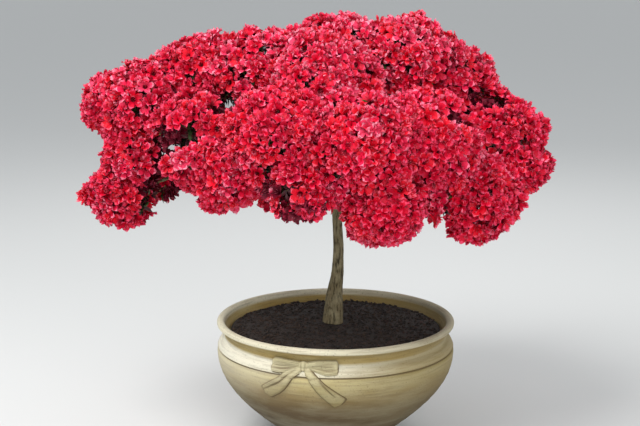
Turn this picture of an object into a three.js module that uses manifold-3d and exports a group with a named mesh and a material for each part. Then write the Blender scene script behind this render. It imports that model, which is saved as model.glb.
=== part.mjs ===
// A red azalea grown as a standard: one clear stem under a wide, arching crown in full flower,
// planted in a wide terracotta bowl with a ribbon bow in relief on its shoulder.
// Lengths are in millimetres. Z is up, X is to the viewer's right and Y leads away from the viewer.
// The origin is the middle of the bowl's flat underside.
import * as THREE from 'three';
import { mergeVertices } from 'three/addons/utils/BufferGeometryUtils.js';
import Module from 'manifold-3d';

const wasm = await Module();
wasm.setup();

// Bowl, turned about Z
const POT_HEIGHT = 305;
const POT_RADIUS = 300;
const FOOT_RADIUS = 135;
const FOOT_HEIGHT = 10;
const SHOULDER_HEIGHT = 225;
const BELLY_POWER = 2.4;
const BELLY_STEPS = 6;
const GROOVE_HEIGHT = 236;
const GROOVE_DEPTH = 3.5;
const NECK_HEIGHT = 265;
const NECK_RADIUS = 281;
const LIP_HEIGHT = 14;
const WALL = 20;
const FLOOR = 26;
const POT_SEGMENTS = 32;

// Compost, heaped a little towards the stem
const SOIL_EDGE = 277;
const SOIL_TOP = 290;
const SOIL_SEAT_RADIUS = 34;
const SOIL_BUMP = 2.5;

// Stem
const TRUNK_RADIUS = 14.8;
const TRUNK_TIP_RADIUS = 10.5;
const FLARE = 11;
const FLARE_HEIGHT = 105;
const TRUNK_SIDES = 10;
const TRUNK_STEPS = 15;
// The stem's lean: how far its middle is to the right at each height.
const TRUNK_BENDS = [[-6, 290], [-3, 347], [5, 421], [7, 480], [5, 528], [1, 590], [-2, 650], [0, 705]];

// Limbs, from the stem or from an older limb
const LIMB_RADIUS = 8.5;
const BRANCH_RADIUS = 6.2;
const LIMB_TIP_RADIUS = 4;
const LIMB_SIDES = 5;
const LIMB_STEPS = 4;
const LIMB_RISE = 0.62;

// Masses of blossom
const SQUASH = 0.9;          // a mass's height to its width
const CORE_SHARE = 0.84;     // the core's size to the mass's
const CORE_GAP = 5;          // from a core to the edge of the mass's own space
const PETAL_GAP = 1.2;       // from a petal to that edge
const LUMPS = 0.06;          // how uneven a core is, as a share of its size
const SHOOT_SPACING = 123;   // between neighbouring twigs over a mass
const BLOSSOM_RADIUS = 53;
const BLOSSOM_DEPTH = 28;
const NOTCH = 0.66;          // how far out the notch between two petals lies
const TWIG_RADIUS = 3.4;
const LEAF_LENGTH = 46;
const HEART = new THREE.Vector3(0, 0, 640);   // the hollow middle of the crown, where no blossom grows

// Touching pieces keep this far apart.
const GAP = 0.3;

// The masses that show from the front and the sides. Bearing is in degrees about the stem, 0 to the
// viewer's right and 90 away from the viewer; reach is from the stem's middle. The limb that carries
// a mass leaves the stem at a height, or the limb of another mass part of the way along it.
const FRONT_MASSES = [
  { name: 'top_left', bearing: -95.7, reach: 35, height: 943, size: 138, from: 'trunk', at: 705 },
  { name: 'top_right', bearing: -19.1, reach: 176, height: 949, size: 131, from: 'trunk', at: 686 },
  { name: 'top_front', bearing: -98, reach: 202, height: 906, size: 136, from: 'trunk', at: 697 },
  { name: 'crest_left', bearing: -170.7, reach: 182, height: 919, size: 128, from: 'top_left', at: 0.35 },
  { name: 'shoulder_left', bearing: 176, reach: 318, height: 902, size: 130, from: 'trunk', at: 664 },
  { name: 'shoulder_right', bearing: 2.1, reach: 269, height: 890, size: 125, from: 'trunk', at: 655 },
  { name: 'brow_left', bearing: -176, reach: 456, height: 852, size: 117, from: 'shoulder_left', at: 0.5 },
  { name: 'cheek_left', bearing: 172.8, reach: 546, height: 832, size: 99, from: 'shoulder_left', at: 0.62 },
  { name: 'flank_left', bearing: -173.9, reach: 480, height: 724, size: 95, from: 'trunk', at: 640 },
  { name: 'tail_left', bearing: -177, reach: 518, height: 627, size: 99, from: 'flank_left', at: 0.8 },
  { name: 'front_left', bearing: -141.8, reach: 387, height: 787, size: 133, from: 'trunk', at: 640 },
  { name: 'front_mid', bearing: -110, reach: 365, height: 808, size: 132, from: 'trunk', at: 668 },
  { name: 'front_right', bearing: -82, reach: 375, height: 796, size: 134, from: 'trunk', at: 636 },
  { name: 'flank_front', bearing: -55.1, reach: 348, height: 792, size: 134, from: 'trunk', at: 662 },
  { name: 'flank_right', bearing: -9.3, reach: 390, height: 772, size: 122, from: 'shoulder_right', at: 0.45 },
  { name: 'tip_right', bearing: -14.5, reach: 442, height: 706, size: 87, from: 'trunk', at: 628 },
  { name: 'skirt_left', bearing: -129.5, reach: 385, height: 722, size: 96, from: 'front_left', at: 0.6 },
  { name: 'skirt_mid', bearing: -101.4, reach: 401, height: 702, size: 87, from: 'front_mid', at: 0.6 },
  { name: 'skirt_right', bearing: -74.8, reach: 390, height: 660, size: 100, from: 'front_right', at: 0.6 },
  { name: 'skirt_far', bearing: -36.4, reach: 388, height: 650, size: 116, from: 'flank_front', at: 0.6 },
  { name: 'inner_left', bearing: 172.3, reach: 446, height: 642, size: 64, from: 'flank_left', at: 0.5 },
];

// The far side is rounded off in two tiers, spaced evenly, and a crest.
const BACK_SIDES = ['right', 'mid', 'left'];
const BACK_FIRST_BEARING = 38;
const BACK_SPACING = 49;
const BACK_UPPER = { reach: 356, height: 802, size: 147, trunkHeights: [648, 672, 650] };
const BACK_SKIRT = { reach: 402, height: 666, size: 114, turn: -13, at: 0.6 };
const BACK_TOP = {
  name: 'top_back', bearing: 92, reach: 185, height: 912, size: 141, from: 'trunk', at: 694,
};

// A repeatable random number from 0 to 1.
function seededRandom(seed) {
  let state = seed;
  return () => {
    state = (state + 0x6d2b79f5) | 0;
    let mixed = Math.imul(state ^ (state >>> 15), 1 | state);
    mixed = (mixed + Math.imul(mixed ^ (mixed >>> 7), 61 | mixed)) ^ mixed;
    return ((mixed ^ (mixed >>> 14)) >>> 0) / 4294967296;
  };
}

// A closed body through rings of equal length, each counterclockwise about the way they run.
function loft(rings) {
  const sides = rings[0].length;
  const last = (rings.length - 1) * sides;
  const index = [];
  for (let i = 0; i < last; i += sides) {
    for (let k = 0; k < sides; k++) {
      const a = i + k;
      const b = i + ((k + 1) % sides);
      index.push(a, b, b + sides, a, b + sides, a + sides);
    }
  }
  for (let k = 1; k + 1 < sides; k++) {
    index.push(0, k + 1, k, last, last + k, last + k + 1);
  }
  return new THREE.BufferGeometry().setFromPoints(rings.flat()).setIndex(index);
}

function toSolid(geometry) {
  const bare = geometry.clone();
  bare.deleteAttribute('normal');
  bare.deleteAttribute('uv');
  const merged = mergeVertices(bare, 1e-3);
  return new wasm.Manifold(new wasm.Mesh({
    numProp: 3,
    vertProperties: merged.attributes.position.array,
    triVerts: new Uint32Array(merged.index.array),
  }));
}

function toGeometry(solid) {
  const { vertProperties, triVerts } = solid.getMesh();
  return new THREE.BufferGeometry()
    .setAttribute('position', new THREE.BufferAttribute(vertProperties, 3))
    .setIndex(new THREE.BufferAttribute(triVerts, 1));
}

// The largest of the bodies that a cut leaves.
function largest(solid) {
  const bodies = solid.decompose();
  return bodies.reduce((best, body) => (body.volume() > best.volume() ? body : best));
}

// A tapering tube along a curve. The ring at share t has radius radiusAt(t, angle).
function tube(curve, steps, sides, radiusAt) {
  const frames = curve.computeFrenetFrames(steps, false);
  const rings = [];
  for (let i = 0; i <= steps; i++) {
    const middle = curve.getPointAt(i / steps);
    const ring = [];
    for (let k = 0; k < sides; k++) {
      const angle = (2 * Math.PI * k) / sides;
      const radius = radiusAt(i / steps, angle);
      ring.push(middle.clone()
        .addScaledVector(frames.normals[i], radius * Math.cos(angle))
        .addScaledVector(frames.binormals[i], radius * Math.sin(angle)));
    }
    rings.push(ring);
  }
  return loft(rings);
}

// The bowl's outer radius between its foot and its widest height.
function bellyRadius(height) {
  const fall = Math.asin(1 - (height - FOOT_HEIGHT) / (SHOULDER_HEIGHT - FOOT_HEIGHT));
  return FOOT_RADIUS + (POT_RADIUS - FOOT_RADIUS) * Math.cos(fall) ** BELLY_POWER;
}

// The bowl's outer side as [radius, height], from the foot to the top of the lip.
function potOutside() {
  const points = [[FOOT_RADIUS, 0], [FOOT_RADIUS, FOOT_HEIGHT]];
  for (let i = 1; i <= BELLY_STEPS; i++) {
    const fall = (Math.PI / 2) * (1 - i / BELLY_STEPS);
    const height = FOOT_HEIGHT + (SHOULDER_HEIGHT - FOOT_HEIGHT) * (1 - Math.sin(fall));
    points.push([bellyRadius(height), height]);
  }
  const grooveRadius = POT_RADIUS - 1;
  points.push([grooveRadius, GROOVE_HEIGHT - 3]);
  points.push([grooveRadius - GROOVE_DEPTH, GROOVE_HEIGHT]);
  points.push([grooveRadius - 1, GROOVE_HEIGHT + 3]);
  const bead = new THREE.CubicBezierCurve(
    new THREE.Vector2(grooveRadius - 1, GROOVE_HEIGHT + 3),
    new THREE.Vector2(grooveRadius - 4, NECK_HEIGHT - 8),
    new THREE.Vector2(NECK_RADIUS, NECK_HEIGHT - 10),
    new THREE.Vector2(NECK_RADIUS, NECK_HEIGHT));
  for (const p of bead.getPoints(2).slice(1)) points.push([p.x, p.y]);
  const flare = new THREE.QuadraticBezierCurve(
    new THREE.Vector2(NECK_RADIUS, NECK_HEIGHT),
    new THREE.Vector2(NECK_RADIUS, POT_HEIGHT - LIP_HEIGHT - 6),
    new THREE.Vector2(POT_RADIUS - 5, POT_HEIGHT - LIP_HEIGHT));
  for (const p of flare.getPoints(2).slice(1)) points.push([p.x, p.y]);
  points.push([POT_RADIUS, POT_HEIGHT - LIP_HEIGHT + 3]);
  points.push([POT_RADIUS, POT_HEIGHT - 5]);
  points.push([POT_RADIUS - 4, POT_HEIGHT]);
  return points;
}

function radiusAtHeight(outline, height) {
  const above = outline.findIndex(([, z]) => z >= height);
  if (above <= 0) return outline[Math.max(above, 0)][0];
  const [r0, z0] = outline[above - 1];
  const [r1, z1] = outline[above];
  return r0 + ((r1 - r0) * (height - z0)) / (z1 - z0 || 1);
}

// The bowl's inner side as [radius, height], from the middle of its floor up to the lip.
function potInside(outside) {
  const heights = [FLOOR, 75, 150, NECK_HEIGHT];
  const points = heights.map((z) => [radiusAtHeight(outside, z) - WALL, z]);
  return [[0, FLOOR], ...points, [NECK_RADIUS - 6, POT_HEIGHT - 8], [POT_RADIUS - 19, POT_HEIGHT]];
}

function turned(outline) {
  const points = outline.map(([r, z]) => new THREE.Vector2(r, z));
  return new THREE.LatheGeometry(points, POT_SEGMENTS).rotateX(Math.PI / 2);
}

function pot() {
  const outside = potOutside();
  const inside = potInside(outside);
  return turned([[0, 0], ...outside, ...inside.reverse()]);
}

// The compost fills the bowl and is flat where the stem stands on it.
function soil() {
  const inside = potInside(potOutside()).filter(([, z]) => z < SOIL_EDGE);
  const wall = inside.map(([r, z]) => [Math.max(r - GAP, 0), z + GAP]);
  const edge = radiusAtHeight(potInside(potOutside()), SOIL_EDGE) - 2 * GAP;
  const surface = [];
  for (const share of [1, 0.7, 0.4]) {
    const rise = (1 - share) / 0.6;
    surface.push([edge * share, SOIL_EDGE + (SOIL_TOP - SOIL_EDGE) * rise ** 0.8]);
  }
  const geometry = turned([...wall, ...surface, [SOIL_SEAT_RADIUS, SOIL_TOP], [0, SOIL_TOP]]);
  const position = geometry.attributes.position;
  for (let i = 0; i < position.count; i++) {
    const x = position.getX(i);
    const y = position.getY(i);
    const radius = Math.hypot(x, y);
    const open = radius > SOIL_SEAT_RADIUS + 1 && radius < edge * 0.9 && position.getZ(i) > SOIL_EDGE;
    if (open) position.setZ(i, position.getZ(i) + SOIL_BUMP * Math.sin(x / 17) * Math.cos(y / 13 + 1));
  }
  return geometry;
}

// The bow: two pleated loops, two tails and a knot, laid over the neck and the shoulder.
const BOW_BEARING = -105.3;
const BOW_HEIGHT = 262;
const BOW_RELIEF = 6;
const BOW_BEDDING = 286;   // the bow bridges the hollow of the neck at this radius
// Each band's middle line as [along the shoulder, above the bow's middle], and its widths.
const BOW_BANDS = [
  { line: [[-88, -3], [-46, -2], [-2, 0], [42, 0], [85, 0]], widths: [27, 27, 13, 26, 28], edge: 0.5 },
  { line: [[-8, -5], [-34, -20], [-60, -47], [-104, -75]], widths: [12, 24, 32, 30], edge: 0.3 },
  { line: [[6, -5], [22, -24], [48, -53], [93, -90]], widths: [12, 22, 29, 33], edge: 0.3 },
];
const KNOT_SIZE = [13, 14, 5];

// A point over the bowl's shoulder: along it, above the bow's middle and out from the clay.
function onShoulder(outside, along, above, out) {
  const height = BOW_HEIGHT + above;
  const radius = Math.max(radiusAtHeight(outside, height), above > -16 ? BOW_BEDDING : 0);
  const angle = THREE.MathUtils.degToRad(BOW_BEARING) + along / POT_RADIUS;
  return new THREE.Vector3(
    (radius + out) * Math.cos(angle), (radius + out) * Math.sin(angle), height);
}

// A point under the clay's surface there, where the back of the bow is before it is cut to the bowl.
function underShoulder(outside, along, above) {
  const height = BOW_HEIGHT + above;
  const angle = THREE.MathUtils.degToRad(BOW_BEARING) + along / POT_RADIUS;
  const radius = radiusAtHeight(outside, height) - BOW_RELIEF;
  return new THREE.Vector3(radius * Math.cos(angle), radius * Math.sin(angle), height);
}

function bowBand(outside, { line, widths, edge }) {
  const middle = new THREE.SplineCurve(line.map(([x, y]) => new THREE.Vector2(x, y)));
  const width = new THREE.SplineCurve(widths.map((w, i) => new THREE.Vector2(i, w)));
  const steps = 2 * (line.length - 1);
  const rings = [];
  for (let i = 0; i <= steps; i++) {
    const t = i / steps;
    const p = middle.getPoint(t);
    const along = middle.getTangent(t);
    const half = width.getPoint(t).y / 2;
    const at = (share) => [p.x - along.y * half * share, p.y + along.x * half * share];
    rings.push([
      underShoulder(outside, ...at(-1)),
      underShoulder(outside, ...at(1)),
      onShoulder(outside, ...at(0.86), BOW_RELIEF),
      onShoulder(outside, ...at(0), BOW_RELIEF * edge),
      onShoulder(outside, ...at(-0.86), BOW_RELIEF),
    ]);
  }
  return loft(rings);
}

function bow() {
  const outside = potOutside();
  const [long, high, deep] = KNOT_SIZE;
  const knot = new THREE.IcosahedronGeometry(1, 1).scale(long, high, deep + BOW_RELIEF);
  const position = knot.attributes.position;
  for (let i = 0; i < position.count; i++) {
    const out = Math.max(position.getZ(i), 0);
    const p = out > 0
      ? onShoulder(outside, position.getX(i), position.getY(i), out)
      : underShoulder(outside, position.getX(i), position.getY(i));
    position.setXYZ(i, p.x, p.y, p.z);
  }
  const bands = BOW_BANDS.map((band) => toSolid(bowBand(outside, band)));
  const body = bands.reduce((sum, band) => sum.add(band), toSolid(knot));
  const clear = turned([[0, 0], ...outside.map(([r, z]) => [r + GAP, z]), [0, POT_HEIGHT]]);
  return toGeometry(largest(body.subtract(toSolid(clear))));
}

const trunkCurve = new THREE.CatmullRomCurve3(
  TRUNK_BENDS.map(([x, z]) => new THREE.Vector3(x, 0, z + (z === SOIL_TOP ? GAP : 0))));

function trunkRadius(t, angle, more = 0) {
  const above = trunkCurve.getPointAt(t).z - SOIL_TOP;
  const taper = THREE.MathUtils.lerp(TRUNK_RADIUS, TRUNK_TIP_RADIUS, t);
  const flare = FLARE * Math.exp(-((above / FLARE_HEIGHT) ** 2));
  const ribs = 1 + (0.03 + 0.05 * (flare / FLARE)) * Math.sin(3 * angle + 2 * t);
  return (taper + flare) * ribs + more;
}

// The stem, with a flat foot on the compost. With more, it is that much thicker all round.
function trunk(more = 0) {
  const body = toSolid(tube(trunkCurve, TRUNK_STEPS, TRUNK_SIDES, (t, a) => trunkRadius(t, a, more)));
  return body.trimByPlane([0, 0, 1], SOIL_TOP + GAP);
}

// The point on the stem's middle line at a height.
function trunkPoint(height) {
  let low = 0;
  let high = 1;
  for (let i = 0; i < 30; i++) {
    const middle = (low + high) / 2;
    if (trunkCurve.getPointAt(middle).z < height) low = middle;
    else high = middle;
  }
  return trunkCurve.getPointAt(low);
}

function allMasses() {
  const back = BACK_SIDES.flatMap((side, i) => {
    const bearing = BACK_FIRST_BEARING + i * BACK_SPACING;
    const name = 'back_' + side;
    const at = BACK_UPPER.trunkHeights[i];
    return [
      { ...BACK_UPPER, name, bearing, from: 'trunk', at },
      { ...BACK_SKIRT, name: 'skirt_' + name, bearing: bearing + BACK_SKIRT.turn, from: name },
    ];
  });
  return [...FRONT_MASSES, BACK_TOP, ...back].map((mass) => {
    const angle = THREE.MathUtils.degToRad(mass.bearing);
    const middle = new THREE.Vector3(Math.cos(angle), Math.sin(angle), 0).multiplyScalar(mass.reach);
    return { ...mass, middle: middle.setZ(mass.height) };
  });
}

// Each mass keeps to its own space, which flat walls part from the spaces of its neighbours. They are
// worked out with heights stretched until every mass is round.
const stretched = (v) => new THREE.Vector3(v.x, v.y, v.z / SQUASH);
const unstretched = (v) => new THREE.Vector3(v.x, v.y, v.z * SQUASH);

// The walls round a mass, each as its direction and its distance from the mass's middle.
function wallsOf(mass, masses) {
  const here = stretched(mass.middle);
  return masses.filter((other) => other !== mass).map((other) => {
    const way = stretched(other.middle).sub(here);
    const apart = way.length();
    const distance = (apart ** 2 + mass.size ** 2 - other.size ** 2) / (2 * apart);
    return { way: way.normalize(), distance };
  });
}

// How deep a point lies inside a mass's space, in millimetres.
function depthIn(mass, point) {
  const from = stretched(point).sub(stretched(mass.middle));
  return Math.min(...mass.walls.map(({ way, distance }) => distance - way.dot(from)));
}

// How far the core reaches from its middle in a stretched direction.
function coreReach(mass, direction) {
  const { x, y, z } = direction.clone().multiplyScalar(3.2);
  const lumps = Math.sin(x + mass.seed) * Math.cos(y * 1.3 - mass.seed) * Math.cos(z + 2 * mass.seed);
  let reach = mass.size * CORE_SHARE * (1 + LUMPS * lumps);
  for (const { way, distance } of mass.walls) {
    const towards = way.dot(direction);
    if (towards > 0.01) reach = Math.min(reach, (distance - CORE_GAP) / towards);
  }
  return reach;
}

function onCore(mass, direction, share = 1) {
  const reach = unstretched(direction.clone().multiplyScalar(coreReach(mass, direction) * share));
  return mass.middle.clone().add(reach);
}

function core(mass) {
  const geometry = new THREE.IcosahedronGeometry(1, 1);
  const position = geometry.attributes.position;
  for (let i = 0; i < position.count; i++) {
    const p = onCore(mass, new THREE.Vector3().fromBufferAttribute(position, i).normalize());
    position.setXYZ(i, p.x, p.y, p.z);
  }
  return toSolid(geometry);
}

// The curve of the limb that carries a mass: up and out from what bears it, then in to the core.
function limbCurve(mass, limbs) {
  const fromTrunk = mass.from === 'trunk';
  const start = fromTrunk ? trunkPoint(mass.at) : limbs.get(mass.from).curve.getPointAt(mass.at);
  const way = stretched(start).sub(stretched(mass.middle)).normalize();
  const end = onCore(mass, way).addScaledVector(unstretched(way).normalize(), 3 * LIMB_TIP_RADIUS);
  const span = start.distanceTo(end);
  const outward = end.clone().sub(start).setZ(0).normalize();
  const leave = outward.multiplyScalar(1 - LIMB_RISE / 2).setZ(LIMB_RISE).normalize();
  if (!fromTrunk) leave.lerp(end.clone().sub(start).normalize(), 0.5).normalize();
  const arrive = mass.middle.clone().sub(end).normalize();
  return new THREE.CubicBezierCurve3(
    start,
    start.clone().addScaledVector(leave, span * 0.38),
    end.clone().addScaledVector(arrive, -span * 0.3),
    end);
}

function limbBody({ curve, radius }, more = 0) {
  const taper = (t) => THREE.MathUtils.lerp(radius, LIMB_TIP_RADIUS, t) + more;
  return toSolid(tube(curve, LIMB_STEPS, LIMB_SIDES, taper));
}

// The stem of a mass: from just past the limb's tip to the middle of the core.
function massStem(mass, limb) {
  const tip = limb.curve.getPointAt(1);
  const way = limb.curve.getTangentAt(1);
  const line = new THREE.LineCurve3(tip.clone().addScaledVector(way, GAP), mass.middle.clone());
  return toSolid(tube(line, 1, LIMB_SIDES, () => LIMB_TIP_RADIUS));
}

// Two directions square to an axis, turned about it by an angle.
function basisOf(axis, turn) {
  const side = new THREE.Vector3(0, 0, 1).cross(axis);
  if (side.length() < 0.1) side.set(1, 0, 0).cross(axis);
  side.normalize().applyAxisAngle(axis, turn);
  return [side, axis.clone().cross(side)];
}

// The furthest point from start towards end that is still well inside a mass's space.
function keptInside(mass, start, end) {
  if (depthIn(mass, end) > PETAL_GAP) return end;
  let inside = 0;
  let outside = 1;
  for (let i = 0; i < 12; i++) {
    const middle = (inside + outside) / 2;
    if (depthIn(mass, start.clone().lerp(end, middle)) > PETAL_GAP) inside = middle;
    else outside = middle;
  }
  return start.clone().lerp(end, inside);
}

// A three-sided twig that opens into a five-petalled funnel, as one closed body. A petal that would
// leave the mass's space is shorter.
function blossom(mass, root, throat, axis, turn, radius) {
  const [u, v] = basisOf(axis, turn);
  const around = (middle, r, angle) => middle.clone()
    .addScaledVector(u, r * Math.cos(angle)).addScaledVector(v, r * Math.sin(angle));
  const depth = BLOSSOM_DEPTH * (radius / BLOSSOM_RADIUS);
  const rimMiddle = throat.clone().addScaledVector(axis, depth);
  const points = [];
  for (const middle of [root, throat]) {
    for (let k = 0; k < 3; k++) points.push(around(middle, TWIG_RADIUS, (2 * Math.PI * k) / 3));
  }
  for (let k = 0; k < 10; k++) {
    const petal = k % 2 === 0;
    const p = around(rimMiddle, petal ? radius : radius * NOTCH, (Math.PI * k) / 5);
    points.push(keptInside(mass, throat, p.addScaledVector(axis, petal ? 0 : -0.2 * depth)));
  }
  points.push(throat.clone().addScaledVector(axis, 0.45 * depth));
  const rim = 6;
  const eye = 16;
  const index = [0, 2, 1];
  for (let k = 0; k < 3; k++) {
    const next = (k + 1) % 3;
    index.push(k, next, 3 + next, k, 3 + next, 3 + k);
  }
  // The throat's three corners are joined to the rim's ten, each rim point to the nearest corner.
  const cornerOf = (k) => 3 + (Math.round((k * 3) / 10) % 3);
  for (let k = 0; k < 10; k++) {
    const next = (k + 1) % 10;
    const corner = cornerOf(k);
    index.push(corner, rim + next, rim + k, rim + k, rim + next, eye);
    if (cornerOf(k + 1) !== corner) index.push(corner, cornerOf(k + 1), rim + next);
  }
  return toSolid(new THREE.BufferGeometry().setFromPoints(points).setIndex(index));
}

// A pointed leaf of eight faces on a three-sided twig.
function leaf(root, foot, axis, turn) {
  const [across, through] = basisOf(axis, turn);
  const half = LEAF_LENGTH / 2;
  const place = new THREE.Matrix4()
    .makeBasis(across, through, axis)
    .scale(new THREE.Vector3(0.3 * half, 0.07 * half, half))
    .setPosition(foot.clone().addScaledVector(axis, 0.9 * half));
  const blade = new THREE.OctahedronGeometry(1).applyMatrix4(place);
  const stalk = new THREE.LineCurve3(root, foot.clone().addScaledVector(axis, 4));
  return toSolid(blade).add(toSolid(tube(stalk, 1, 3, () => 0.6 * TWIG_RADIUS)));
}

// The points of a solid, to test where it lies.
function cornersOf(solid) {
  const { vertProperties } = solid.getMesh();
  const corners = [];
  for (let i = 0; i < vertProperties.length; i += 3) {
    corners.push(new THREE.Vector3().fromArray(vertProperties, i));
  }
  return corners;
}

// A mass: its stem, its core and the twigs that stand out of it, blossoms where the mass faces out
// and a few leaves underneath. What would leave the mass's space or touch a limb is skipped.
function massBody(mass, limb, wood) {
  const random = seededRandom(mass.seed * 7919 + 17);
  const outward = mass.middle.clone().sub(HEART).normalize();
  const room = new THREE.IcosahedronGeometry(1.4 * mass.size, 1).translate(...mass.middle);
  const woodNear = wood.intersect(toSolid(room));
  const shoots = Math.round(4 * Math.PI * (mass.size / SHOOT_SPACING) ** 2);
  const golden = Math.PI * (3 - Math.sqrt(5));
  let body = core(mass).add(massStem(mass, limb));
  for (let i = 0; i < shoots; i++) {
    const z = 1 - (2 * i + 1) / shoots;
    const ring = Math.sqrt(1 - z * z);
    const angle = i * golden + mass.seed;
    const direction = new THREE.Vector3(ring * Math.cos(angle), ring * Math.sin(angle), z);
    const facing = direction.dot(outward);
    const axis = direction.clone().multiplyScalar(0.85).add(new THREE.Vector3(0, 0, 0.1)).normalize();
    const swell = 0.97 + 0.08 * random();
    const turn = 2 * Math.PI * random();
    const scale = 0.9 + 0.2 * random();
    const root = onCore(mass, direction, 0.55);
    let shoot = null;
    if (facing > -0.3) {
      const reach = mass.size * swell - BLOSSOM_DEPTH * scale;
      const throat = mass.middle.clone().add(unstretched(direction.clone().multiplyScalar(reach)));
      if (depthIn(mass, throat) > 4 * TWIG_RADIUS) {
        shoot = blossom(mass, root, throat, axis, turn, BLOSSOM_RADIUS * scale);
      }
    } else if (facing > -0.75 && direction.z < 0.2) {
      const foot = onCore(mass, direction, 1).addScaledVector(axis, 3);
      shoot = leaf(root, foot, axis, turn);
    }
    const fits = shoot
      && cornersOf(shoot).every((p) => depthIn(mass, p) > 0.9 * PETAL_GAP)
      && shoot.intersect(woodNear).volume() === 0;
    if (fits) body = body.add(shoot);
  }
  return largest(body.subtract(woodNear));
}

const CLAY = new THREE.MeshStandardMaterial({ color: 0xd3b585, roughness: 0.75, metalness: 0 });
const COMPOST = new THREE.MeshStandardMaterial({ color: 0x2c1d14, roughness: 1, metalness: 0 });
const BARK = new THREE.MeshStandardMaterial({ color: 0x6b5540, roughness: 0.9, metalness: 0 });
const PETALS = new THREE.MeshStandardMaterial({ color: 0xc4102c, roughness: 0.6, metalness: 0 });

function node(name, geometry, material) {
  const mesh = new THREE.Mesh(geometry, material);
  mesh.name = name;
  return mesh;
}

function build() {
  const shrub = new THREE.Group();
  shrub.add(node('pot', pot(), CLAY));
  shrub.add(node('bow_relief', bow(), CLAY));
  shrub.add(node('compost', soil(), COMPOST));
  shrub.add(node('trunk', toGeometry(trunk()), BARK));

  const masses = allMasses();
  masses.forEach((mass, i) => {
    mass.seed = i + 1;
    mass.walls = wallsOf(mass, masses);
  });

  const limbs = new Map();
  let wood = trunk(GAP);
  for (const mass of masses) {
    const radius = mass.from === 'trunk' ? LIMB_RADIUS : BRANCH_RADIUS;
    const limb = { radius, curve: limbCurve(mass, limbs) };
    limbs.set(mass.name, limb);
    shrub.add(node('limb_' + mass.name, toGeometry(largest(limbBody(limb).subtract(wood))), BARK));
    wood = wood.add(limbBody(limb, GAP));
  }
  for (const mass of masses) {
    const body = massBody(mass, limbs.get(mass.name), wood);
    shrub.add(node('mass_' + mass.name, toGeometry(body), PETALS));
  }
  return shrub;
}

export default build();
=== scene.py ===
"""A red azalea grown as a standard in a clay bowl, dressed for its picture.

The stem, the limbs and the masses of blossom follow the solids' own rule: every mass keeps to a space
of its own that flat walls part from its neighbours, and twigs grow from its middle to that space's
edge. Here the rule is carried on to single flowers, leaves and fine twigs. Sizes are in millimetres
where a class holds them, and meshes are in metres.
"""

from __future__ import annotations

import logging
import math
from collections.abc import Callable, Sequence
from dataclasses import dataclass, field
from enum import Enum

import bmesh
import bpy
import numpy as np
from mathutils import Euler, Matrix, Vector, noise

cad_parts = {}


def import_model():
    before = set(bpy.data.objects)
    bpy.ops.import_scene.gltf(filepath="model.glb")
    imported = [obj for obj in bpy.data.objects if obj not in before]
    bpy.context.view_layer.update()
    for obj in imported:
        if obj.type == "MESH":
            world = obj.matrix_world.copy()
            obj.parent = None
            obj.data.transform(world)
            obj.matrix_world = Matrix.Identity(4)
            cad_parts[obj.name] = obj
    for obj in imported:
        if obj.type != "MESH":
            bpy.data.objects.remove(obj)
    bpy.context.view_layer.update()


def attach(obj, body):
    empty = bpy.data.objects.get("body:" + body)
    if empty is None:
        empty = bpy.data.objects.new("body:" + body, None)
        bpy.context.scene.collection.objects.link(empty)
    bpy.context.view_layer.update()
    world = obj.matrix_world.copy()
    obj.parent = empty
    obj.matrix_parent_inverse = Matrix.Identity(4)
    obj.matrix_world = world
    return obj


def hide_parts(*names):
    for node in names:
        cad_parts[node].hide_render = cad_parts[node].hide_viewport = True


LOG = logging.getLogger("azalea")
MM = 0.001
BODY = "root"
# The attribute that holds painted shade in the groove and in the bow's folds, pinch and foot
PAINTED_CREASE_SHADE = "painted_crease_shade"

# The masses are a little flatter than balls, and face away from the crown's heart.
SQUASH = np.array([1.0, 1.0, 0.9])
HEART = np.array([0.0, 0.0, 640.0])
GOLDEN_ANGLE = math.pi * (3 - math.sqrt(5))

BMesh = bmesh.types.BMesh
Material = bpy.types.Material
Node = bpy.types.Node
NodeTree = bpy.types.NodeTree
Socket = bpy.types.NodeSocket
Colour = tuple[int, int, int]
BLACK = (0.0, 0.0, 0.0, 1.0)
GREY = (0.5, 0.5, 0.5, 1.0)
WHITE = (1.0, 1.0, 1.0, 1.0)


class Slot(str, Enum):
    """The record's material slots."""

    CLAY = "terracotta"
    COMPOST = "compost"
    BARK = "bark"
    BLOSSOM = "blossom"


class Zone(int, Enum):
    """The parts of a flower that have a finish of their own; the paler margin is a painted highlight on the
    petals' edges.
    """

    HEART = 0
    STAMEN = 1
    BLADE = 2
    MARGIN = 3


def srgb(red: int, green: int, blue: int) -> tuple[float, float, float, float]:
    """Turns a colour as seen on screen into the linear values that a shader takes.

    Args:
        red: Red from 0 to 255.
        green: Green from 0 to 255.
        blue: Blue from 0 to 255.

    Returns:
        Linear red, green, blue and full alpha.
    """
    shares = [c / 255 for c in (red, green, blue)]
    linear = [c / 12.92 if c <= 0.04045 else ((c + 0.055) / 1.055) ** 2.4 for c in shares]
    return linear[0], linear[1], linear[2], 1.0


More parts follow.
